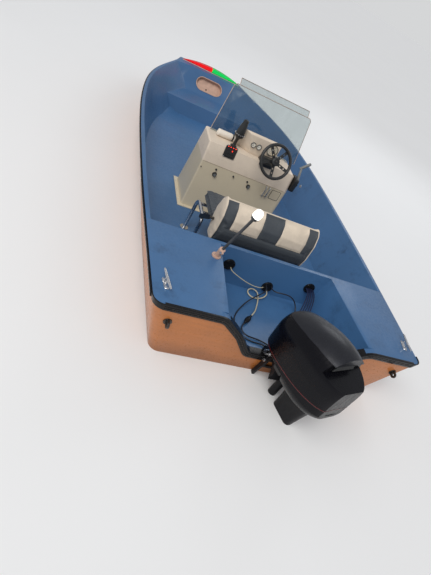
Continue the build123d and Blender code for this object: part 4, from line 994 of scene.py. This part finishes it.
def add_gauges():
    faces, marks, rims, gold = (bmesh.new() for _ in range(4))
    for number, (y, z, radius) in enumerate(GAUGES):
        def at(x):
            return facing_aft((POD_FACE_X - x, y, z))

        add_turned(faces, disc(radius - 0.0044, 0, 0.0006), at(0.0051))
        if radius > LARGE_GAUGE:
            for share in (0.36, 0.58, 0.82):
                add_ring(gold, at(0.0062), radius * share, 0.0022)
        ticks = 21 if radius > LARGE_GAUGE else 11
        for k in range(ticks):
            angle = math.radians(-130 + 260 * k / (ticks - 1))
            long = 0.2 if k % 5 == 0 else 0.12
            turn = turned(-angle, "Z") @ moved(0, radius * (0.72 - long / 2))
            tick = rounded_box(0.0012, radius * long, 0.0004, 1)
            add_slab(marks, tick, at(0.0057) @ turn, 0.0004, 0.0001)
        tip = turned(math.radians(118 - 30 * number), "Z") @ moved(0, radius * 0.25)
        needle = rounded_box(0.0018, radius * 0.62, 0.0006, 1)
        add_slab(marks, needle, at(0.0063) @ tip, 0.0006, 0.0002)
        pin = [(0, 0), (radius * 0.11, 0), (radius * 0.09, 0.0016), (0, 0.0018)]
        add_turned(marks, pin, at(0.0063))
        add_ring(rims, at(0.0082), radius - 0.0018, 0.0018)
    mesh_piece("gauge_dials", faces, "dial_white")
    mesh_piece("gauge_marks", marks, "control_black")
    mesh_piece("gauge_rims", rims, "control_black")
    mesh_piece("gauge_rings", gold, "dial_gold")


WHEEL_CENTRE = (1.530, -0.020, 0.722)
WHEEL_TILT = math.radians(30)
WHEEL_RADIUS = 0.127
WHEEL_RIBS = 60
HUB = (
    (0, -0.005), (0.033, -0.005), (0.034, -0.001), (0.031, 0.004), (0.020, 0.0075), (0.019, 0.006),
    (0, 0.0062),
)
WHEEL_NUT = ((0, 0.006), (0.010, 0.006), (0.010, 0.011), (0.006, 0.014), (0, 0.0145))


def add_wheel_details():
    centre = facing_aft(WHEEL_CENTRE, WHEEL_TILT)
    body = "steering_wheel_body"
    turned_piece("wheel_hub_cap", "control_black", HUB, centre, body, segments=48)
    turned_piece("wheel_nut", "dark_steel", WHEEL_NUT, centre, body, segments=6)
    grips = bmesh.new()
    for k in range(WHEEL_RIBS):
        if k % 12 in (0, 1, 11):
            continue
        angle = 2 * math.pi * k / WHEEL_RIBS
        turn = turned(angle, "Z") @ moved(WHEEL_RADIUS, 0)
        add_ring(grips, centre @ turn @ turned(math.pi / 2, "X"), 0.0116, 0.0014, 20, 6)
    mesh_piece("wheel_grip_ribs", grips, "control_black", body)


# The throttle lever's pivot as x and z, its top, and the run of its grip from there
THROTTLE_PIVOT = (1.697, 0.546)
THROTTLE_TOP = Vector((1.7668, -0.3836, 0.6719))
THROTTLE_GRIP = Vector((0.002, -0.052, 0.056))
# Share of the way and radius along the grip, and along the arm
GRIP_FORM = (
    (-0.25, 0.006), (-0.22, 0.011), (0.1, 0.0128), (0.5, 0.0122), (0.9, 0.0128), (1.06, 0.011), (1.1, 0.006),
)
ARM_FORM = ((0.12, 0.009), (0.2, 0.0125), (0.9, 0.0095), (0.98, 0.009))


def add_throttle_details():
    x, z = THROTTLE_PIVOT
    box_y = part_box("throttle_box")[0].y
    lever_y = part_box("throttle_lever")[0].y
    details = bmesh.new()
    add_corner_screws(details, seat_at((x, box_y + 0.0075, z), X, -Y), 0.040, 0.045, 0.004)
    cap = [(0, 0), (0.013, 0), (0.012, 0.004), (0.006, 0.0065), (0, 0.0068)]
    add_turned(details, cap, seat_at((x, lever_y + 0.013, z), X, -Y))
    mesh_piece("throttle_fastenings", details, "fitting_steel")
    pivot = Vector((x, THROTTLE_TOP.y, z))
    grip = bmesh.new()
    for start, run, form in (
        (THROTTLE_TOP, THROTTLE_GRIP, GRIP_FORM), (pivot, THROTTLE_TOP - pivot, ARM_FORM),
    ):
        add_pipe(grip, [start + run * share for share, radius in form], [radius for share, radius in form])
    mesh_piece("throttle_grip", grip, "control_grey", sharp=50.0)


# Compass on its foot as radius and height, its dome ringed by beads
COMPASS_AT = (1.758, 0.262, 0.6205)
COMPASS = (
    (0, 0), (0.028, 0), (0.028, 0.006), (0.020, 0.010), (0.014, 0.016), (0.013, 0.060), (0.020, 0.074),
    (0.036, 0.088), (0.040, 0.100), (0.041, 0.108), (0.038, 0.113), (0.0345, 0.114), (0.034, 0.135),
    (0.031, 0.160), (0.026, 0.186), (0.022, 0.200), (0.022, 0.216), (0.020, 0.224), (0.012, 0.229),
    (0, 0.230),
)
BEADS = 14
BEAD = ((0, -0.004), (0.003, -0.003), (0.0042, 0), (0.003, 0.003), (0, 0.004))
BEAD_RING = 0.0405
BEAD_HEIGHT = 0.112


def add_compass():
    foot = moved(*COMPASS_AT)
    turned_piece("compass_body", "control_black", COMPASS, foot, replaces=["compass"], segments=40)
    beads = bmesh.new()
    for k in range(BEADS):
        angle = 2 * math.pi * k / BEADS
        at = foot @ moved(BEAD_RING * math.cos(angle), BEAD_RING * math.sin(angle), BEAD_HEIGHT)
        add_turned(beads, BEAD, at, segments=12)
    mesh_piece("compass_beads", beads, "fitting_steel")


# Rolled towel in its strap: x and z of its axis, y of its ends, its radius, and y of the strap
ROLL_AT = (1.845, 0.6495)
ROLL_SPAN = (0.222, 0.404)
ROLL_RADIUS = 0.029
STRAP_Y = 0.268
ROLL_SIDES = 48
ROLL_RINGS = 40
# Share of the radius and depth below the end, from the rim of the towel's end inward
ROLL_END = ((0.75, 0.003), (0.7, 0.0), (0.45, 0.003), (0.4, 0.0), (0.15, 0.004))


def add_roll():
    mesh = bmesh.new()
    axis_x, axis_z = ROLL_AT
    start, end = ROLL_SPAN
    sections = []
    for k in range(ROLL_RINGS + 1):
        y = start + (end - start) * k / ROLL_RINGS
        pinch = 0.0045 * math.exp(-((y - STRAP_Y) / 0.012) ** 2)
        edge = min(y - start, end - y)
        ring = []
        for j in range(ROLL_SIDES):
            a = 2 * math.pi * j / ROLL_SIDES
            fold = 0.0022 * (j / ROLL_SIDES) + 0.0006 * math.sin(3 * a + 40 * y)
            r = ROLL_RADIUS - 0.0026 - pinch + fold - 0.008 * max(0.0, 1 - edge / 0.006) ** 2
            place = (axis_x + r * math.cos(a), y, axis_z - 0.0008 + r * math.sin(a))
            ring.append(mesh.verts.new(place))
        sections.append(ring)
    join_rings(mesh, sections)
    for ring, y, inward in ((sections[0], start, 1), (sections[-1], end, -1)):
        turns = [ring]
        for share, depth in ROLL_END:
            turn = []
            for vertex in ring:
                x = axis_x + (vertex.co.x - axis_x) * share
                z = axis_z + (vertex.co.z - axis_z) * share
                turn.append(mesh.verts.new((x, y + inward * depth, z)))
            turns.append(turn)
        join_rings(mesh, turns)
        mesh.faces.new(turns[-1])
    roll = mesh_piece("towel_roll", mesh, "towel_cream", replaces=["console_roll"], sharp=70.0)
    outer = ROLL_RADIUS - 0.0042
    inner = outer - 0.002
    strap = [(inner, -0.006), (outer, -0.006), (outer + 0.001, 0), (outer, 0.006), (inner, 0.006)]
    strap.append(strap[0])
    at = seat_at((axis_x, STRAP_Y, axis_z), X, Y)
    turned_piece("towel_strap", "rubber_black", strap, at, segments=48)


# Windscreen edges, in the screen's own plane with x to starboard and y up
SCREEN_AT = (1.905, 0.0, 0.6214)
SCREEN_LEAN = math.radians(12.5)
SCREEN_PORT = -0.448
SCREEN_STARBOARD = 0.376
SCREEN_HEIGHT = 0.390
SCREEN_INSET = 0.045
FLANGE_INSET = 0.085
FLANGE_HEIGHT = 0.0535
SCREEN_BEND = math.radians(22)
SCREEN_THICK = 0.005
SCREEN_EDGE = 0.0027
SCREEN_BRACKETS = (0.358, 0.036, -0.286)


def add_screen_edges():
    plane = facing_aft(SCREEN_AT, SCREEN_LEAN)
    bend = plane @ moved(0, SCREEN_HEIGHT) @ turned(-SCREEN_BEND, "X")
    edge = bmesh.new()
    for at, inset, low, high, foot, radius, steps in (
        (plane, SCREEN_INSET, 0.004, SCREEN_HEIGHT, 0.0, 0.030, 8),
        (bend, FLANGE_INSET, 0.0, FLANGE_HEIGHT, FLANGE_INSET, 0.002, 3),
    ):
        port, starboard = SCREEN_PORT + inset, SCREEN_STARBOARD - inset
        corners = (
            (SCREEN_PORT + foot, low), (port, high), (starboard, high), (SCREEN_STARBOARD - foot, low),
        )
        path = rounded_path(corners, (radius, radius), steps)
        centres = [at @ Vector((p.x, p.y, -SCREEN_THICK / 2)) for p in path]
        add_pipe(edge, centres, SCREEN_EDGE, 10)
    # The edges' light pinkish tone is a painted highlight along the sheet's edges.
    mesh_piece("windscreen_edges", edge, "cut_edge")
    screws = bmesh.new()
    for y in SCREEN_BRACKETS:
        for side in (-0.007, 0.007):
            add_screw(screws, moved(SCREEN_AT[0] - 0.018, y + side, 0.6233), 0.003)
    mesh_piece("screen_bracket_screws", screws, "fitting_steel")


add_switches()
add_knobs()
add_console_fittings()
add_gauges()
add_wheel_details()
add_throttle_details()
add_compass()
add_roll()
add_screen_edges()


# Bow pocket: the raised part of its floor and a black disc of painted shade for the hole in it, with x to
# starboard and y up the bow face
POCKET_AT = (4.1267, 0.0, 0.2792)
BOW_FACE_NORMAL = (-0.7562, 0.0, 0.6544)
# Width, height, corner radius and y of the raised part
POCKET_LEDGE = (0.262, 0.046, 0.020, -0.048)
LEDGE_THICK = 0.016
# x, y and radius of the hole, whose shade is painted as a black disc
POCKET_HOLE = (-0.020, -0.040, 0.010)


def add_pocket_details():
    tray = seat_at(POCKET_AT, -Y, BOW_FACE_NORMAL)
    width, height, corner, up = POCKET_LEDGE
    ledge = rounded_box(width, height, corner)
    slab_piece("bow_pocket_ledge", "pocket_tan", ledge, tray @ moved(0, up), LEDGE_THICK, 0.003)
    x, y, radius = POCKET_HOLE
    at = tray @ moved(x, y, LEDGE_THICK + 0.0002)
    # A flat black disc: the hole's painted shade.
    turned_piece("bow_pocket_hole_shade", "hole_black", disc(radius, 0, 0.0006), at)


add_pocket_details()


# Transom edging: two ribs and a row of screws, in the transom's plane with x to starboard and y up
TRANSOM_RAKE = math.radians(7.5)
FREEBOARD = 0.420
EDGE_LINE = ((0.865, 0.0), (0.505, 0.0), (0.356, -0.117), (0.235, -0.255))
EDGE_RADII = (0.110, 0.150, 0.045)
EDGING_PROUD = 0.006


def transom_frame(proud=0.0):
    return facing_aft((0, 0, FREEBOARD), -TRANSOM_RAKE) @ moved(0, 0, proud)


def edge_path(lower):
    """The cut-out's edge from port to starboard, this much lower in the transom."""
    left = [(-x, y) for x, y in EDGE_LINE]
    points = left + [(x, y) for x, y in reversed(EDGE_LINE)]
    corners = []
    for k, point in enumerate(points):
        before = Vector(points[max(k - 1, 0)])
        after = Vector(points[min(k + 1, len(points) - 1)])
        into = (Vector(point) - before).normalized() if k else (after - Vector(point)).normalized()
        out = (after - Vector(point)).normalized() if k < len(points) - 1 else into
        side = (Vector((into.y, -into.x)) + Vector((out.y, -out.x))).normalized()
        share = max(0.3, side.dot(Vector((into.y, -into.x))))
        corners.append(Vector(point) + side * lower / share)
    signs = (-1, 1, 1)
    radii = [max(0.006, r + s * lower) for r, s in zip(EDGE_RADII, signs)]
    return rounded_path(corners, radii + radii[::-1], 8)


def add_edging_details():
    ribs = bmesh.new()
    for lower in (0.012, 0.026):
        at = transom_frame(EDGING_PROUD - 0.0006)
        add_pipe(ribs, [at @ p.to_3d() for p in edge_path(lower)], 0.0026, 8)
    mesh_piece("edging_ribs", ribs, "rubber_black")
    screws = bmesh.new()
    path = edge_path(0.019)
    travelled, due = 0.0, 0.05
    for a, b in zip(path, path[1:]):
        step = (b - a).length
        while travelled + step > due:
            p = a + (b - a) * ((due - travelled) / step)
            add_screw(screws, transom_frame(EDGING_PROUD) @ moved(p.x, p.y), 0.004)
            due += 0.14
        travelled += step
    mesh_piece("edging_screws", screws, "dark_steel")


# Cleats, glands, the pole's clamp and lamp
CLEAT_AT = (0.150, 0.858)
CLEAT_TURN = math.radians(9)
CLEAT_STEPS = 20
CLEAT_POST = (
    (0, 0.004), (0.013, 0.004), (0.0105, 0.009), (0.0078, 0.016), (0.0076, 0.026), (0.009, 0.034), (0, 0.034),
)


def add_cleats():
    cleats = bmesh.new()
    for side in (-1, 1):
        at = moved(CLEAT_AT[0], side * CLEAT_AT[1], FREEBOARD) @ turned(side * CLEAT_TURN, "Z")
        add_slab(cleats, rounded_box(0.086, 0.028, 0.012), at, 0.0058, 0.002)
        spine, radii = [], []
        for k in range(CLEAT_STEPS + 1):
            t = 2 * k / CLEAT_STEPS - 1
            spine.append(at @ Vector((0.0765 * t, 0, 0.036 + 0.003 * t * t)))
            radii.append(0.0078 * math.sqrt(max(0.02, 1 - 0.55 * t * t)) if abs(t) < 0.97 else 0.0035)
        add_pipe(cleats, spine, radii)
        for x in (-0.026, 0.026):
            add_turned(cleats, CLEAT_POST, at @ moved(x, 0), segments=20)
        for x in (-0.037, 0.0, 0.037):
            add_screw(cleats, at @ moved(x, 0, 0.0056), 0.0042)
    mesh_piece("cleat_pair", cleats, "fitting_steel", replaces=["cleats"])


# y and z of each gland, its screws' distance in y and z, and radius and thickness of its boot's rings
GLANDS = ((0.319, 0.289), (-0.038, 0.196), (-0.343, 0.288))
GLAND_X = 0.650
GLAND_SCREW = 0.035 * math.cos(math.pi / 4)
GLAND_RINGS = ((0.0385, 0.0016), (0.031, 0.0013), (0.0235, 0.0013))


def add_gland_details():
    boots = bmesh.new()
    screws = bmesh.new()
    for y, z in GLANDS:
        at = facing_aft((GLAND_X, y, z))
        for radius, thick in GLAND_RINGS:
            add_ring(boots, at, radius, thick)
        add_corner_screws(screws, at, GLAND_SCREW, GLAND_SCREW, 0.0028)
    mesh_piece("gland_rings", boots, "rubber_black")
    mesh_piece("gland_screws", screws, "dark_steel")


POLE_FOOT = Vector((0.518, 0.505, FREEBOARD))
POLE_TOP = Vector((0.450, 0.460, 0.790))
CLAMP_HEIGHT = 0.062
CLAMP_COLLAR = (
    (0.0093, 0.050), (0.0185, 0.050), (0.020, 0.053), (0.020, 0.071), (0.018, 0.074), (0.0093, 0.074),
    (0.0093, 0.050),
)
CLAMP_BOLT = ((0, -0.018), (0.003, -0.018), (0.003, 0), (0.0075, 0), (0.0075, 0.005), (0, 0.006))
LAMP_RIM = ((0, 0.0003), (0.024, 0.0003), (0.026, 0.002), (0.026, 0.0078), (0, 0.0079))


def add_pole_details():
    lean = (POLE_TOP - POLE_FOOT).normalized()
    foot = seat_at(POLE_FOOT, X, lean)
    clamp = bmesh.new()
    add_turned(clamp, CLAMP_COLLAR, foot, segments=28)
    lug = foot @ moved(-0.022, 0, CLAMP_HEIGHT) @ turned(math.pi / 2, "X")
    add_slab(clamp, rounded_box(0.022, 0.018, 0.006), lug @ moved(0, 0, -0.005), 0.010, 0.0015)
    mesh_piece("pole_clamp", clamp, "pocket_tan")
    bolt = bmesh.new()
    across = foot @ moved(-0.026, 0.008, CLAMP_HEIGHT) @ turned(-math.pi / 2, "X")
    add_turned(bolt, CLAMP_BOLT, across)
    for k in range(3):
        turn = turned(math.pi * (0.5 + 2 * k / 3), "Z") @ moved(0.020, 0, 0.0078)
        add_screw(bolt, moved(*POLE_FOOT) @ turn, 0.004)
    mesh_piece("pole_clamp_bolt", bolt, "fitting_steel")
    lamp = seat_at(POLE_TOP, X, lean)
    wall = [(0.0255, 0.008)]
    for k in range(8):
        z = 0.010 + 0.0042 * k
        wall += [(0.0246, z), (0.0258, z + 0.0021)]
    dome = [(0.024, 0.046), (0.020, 0.0515), (0.012, 0.0548), (0, 0.056)]
    lens = [(0, 0.008), *wall, *dome]
    turned_piece("lamp_lens", "lens_white", lens, lamp, replaces=["pole_lamp"], segments=40)
    turned_piece("lamp_rim", "control_black", LAMP_RIM, lamp, segments=40)


add_edging_details()
add_cleats()
add_gland_details()
add_pole_details()


# Outboard, in its own frame about the swivel axis, with x forward
MOTOR = moved(-0.088, 0) @ turned(math.radians(17), "Z")
# x, half widths at the seam and the crease, crease height of the cowl's sections
COWL = (
    (0.212, 0.084, 0.062, 0.500), (0.190, 0.120, 0.088, 0.514), (0.130, 0.156, 0.114, 0.532),
    (0.030, 0.174, 0.133, 0.557), (-0.080, 0.178, 0.133, 0.576), (-0.200, 0.164, 0.113, 0.584),
    (-0.290, 0.128, 0.084, 0.566), (-0.330, 0.088, 0.058, 0.540),
)
COWL_FOOT = 0.300
LID_END = -0.212
# Stripe: its height at the swivel axis, its width, its rise astern and the x where it ends forward
STRIPE_Z = 0.316
STRIPE_WIDTH = 0.0055
STRIPE_RISE = 0.11
STRIPE_END = 0.20


def motor_point(x, y, z):
    return MOTOR @ Vector((x, y, z))


def motor_way(x, y, z):
    return MOTOR.to_3x3() @ Vector((x, y, z))


def add_cowl_details():
    foot = COWL_FOOT - 0.0002
    loop = [motor_point(x, half, foot) for x, half, crease, z in COWL]
    loop += [motor_point(x, -half, foot) for x, half, crease, z in reversed(COWL)]
    tube("cowl_gasket", loop, 0.0028, "rubber_black", "motor_body", closed=True, fine=6)
    # A grey strip along each side of the lid's crease: a trim whose light grey is a painted highlight on the
    # crease.
    lid = [(x, crease, z) for x, half, crease, z in COWL if x > LID_END]
    for number, side in enumerate((-1, 1)):
        line = [motor_point(x, side * (crease + 0.0012), z - 0.0052) for x, crease, z in lid]
        tube(f"lid_trim_highlight_{number + 1}", line, 0.0016, "control_grey", "motor_body", fine=8)

    def outside(face):
        local = MOTOR.inverted() @ face.calc_center_median()
        out = MOTOR.to_3x3().inverted() @ face.normal
        return out.x * local.x * 0.3 + out.y * local.y > 0

    tilt = MOTOR.to_3x3() @ Vector((STRIPE_RISE, 0, 1)).normalized()
    start = motor_point(0, 0, STRIPE_Z)
    front = (motor_point(STRIPE_END, 0, 0), -motor_way(1, 0, 0))
    planes = [(start, tilt), (start + tilt * STRIPE_WIDTH, -tilt), front]
    add_panel("cowl_stripe", frame["nodes"]["cowl"], planes, "stripe_red", 0.0006, "motor_body", outside)
    latches = bmesh.new()
    for side in (-1, 1):
        place = motor_point(-0.02, side * 0.1765, COWL_FOOT - 0.012)
        at = seat_at(place, motor_way(1, 0, 0), motor_way(0, side, 0)) @ moved(0, 0, -0.006)
        add_slab(latches, rounded_box(0.070, 0.020, 0.008), at, 0.010, 0.003)
    mesh_piece("cowl_latches", latches, "control_black", "motor_body")
    vent = bmesh.new()
    for k in range(6):
        place = motor_point(LID_END + 0.013, 0, 0.528 + 0.008 * k)
        at = seat_at(place, motor_way(0, 1, 0), motor_way(-0.8, 0, 0.6))
        add_slab(vent, rounded_box(0.170 - 0.008 * k, 0.006, 0.0015), at, 0.003, 0.0008)
    mesh_piece("cowl_vent", vent, "control_black", "motor_body")


BRACKET_BOLT = ((0, 0), (0.014, 0), (0.014, 0.0016), (0.010, 0.0016), (0.010, 0.008), (0, 0.009))


def add_bracket_details():
    bolts = bmesh.new()
    low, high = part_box("clamp_bracket")
    for side in (-1, 1):
        for z in (high.z - 0.10, low.z + 0.05):
            at = seat_at((low.x + 0.035, side * 0.1195, z), X, Y * side)
            add_turned(bolts, BRACKET_BOLT, at, segments=6)
    mesh_piece("bracket_bolts", bolts, "fitting_steel")


add_cowl_details()
add_bracket_details()


# Floor at the waterline, lamps and world
FLOOR_SIZE = 400.0
PAPER = (0.86, 0.87, 0.88)
# What the camera sees behind the floor, as light as the floor comes out
FAR_PAPER = (0.665, 0.672, 0.680)
SKY = (0.94, 0.96, 1.0)
SKY_STRENGTH = 0.46


def add_stage():
    plane = bmesh.new()
    bmesh.ops.create_grid(plane, x_segments=1, y_segments=1, size=FLOOR_SIZE)
    data = bpy.data.meshes.new("floor")
    plane.to_mesh(data)
    plane.free()
    floor = link_object("floor", data)
    n = Nodes("floor_paper")
    n.set(Base_Color=n.blend(n.noise(0.6), shade(PAPER, 0.98), shade(PAPER, 1.02)))
    n.set(Roughness=0.95, Specular_IOR_Level=0.2)
    data.materials.append(n.material)
    world = bpy.data.worlds.new("studio")
    world.use_nodes = True
    nodes, links = world.node_tree.nodes, world.node_tree.links
    light = nodes["Background"]
    light.inputs["Color"].default_value = (*SKY, 1.0)
    light.inputs["Strength"].default_value = SKY_STRENGTH
    seen = nodes.new("ShaderNodeBackground")
    seen.inputs["Color"].default_value = (*FAR_PAPER, 1.0)
    mix = nodes.new("ShaderNodeMixShader")
    links.new(nodes.new("ShaderNodeLightPath").outputs["Is Camera Ray"], mix.inputs["Fac"])
    links.new(light.outputs["Background"], mix.inputs[1])
    links.new(seen.outputs["Background"], mix.inputs[2])
    links.new(mix.outputs["Shader"], nodes["World Output"].inputs["Surface"])
    bpy.context.scene.world = world


def add_light(name, kind, place, target, power, color, **sizes):
    data = bpy.data.lights.new(name, kind)
    data.energy = power
    data.color = color
    for key, value in sizes.items():
        setattr(data, key, value)
    lamp = link_object(name, data)
    lamp.location = place
    lamp.rotation_euler = (Vector(target) - Vector(place)).to_track_quat("-Z", "Y").to_euler()


add_stage()
add_light("sun", "SUN", (-3.0, 4.0, 8.0), (1.8, 0, 0.2), 1.4, (1.0, 0.97, 0.93), angle=math.radians(30))
add_light("key", "AREA", (-1.0, 3.6, 5.0), (1.6, 0, 0.3), 60.0, (1.0, 0.97, 0.92), shape="DISK", size=2.6)
add_light("rim", "AREA", (5.5, -4.0, 4.0), (2.0, 0, 0.3), 35.0, (0.94, 0.97, 1.0), shape="DISK", size=3.0)
bpy.context.scene.view_settings.view_transform = "Standard"
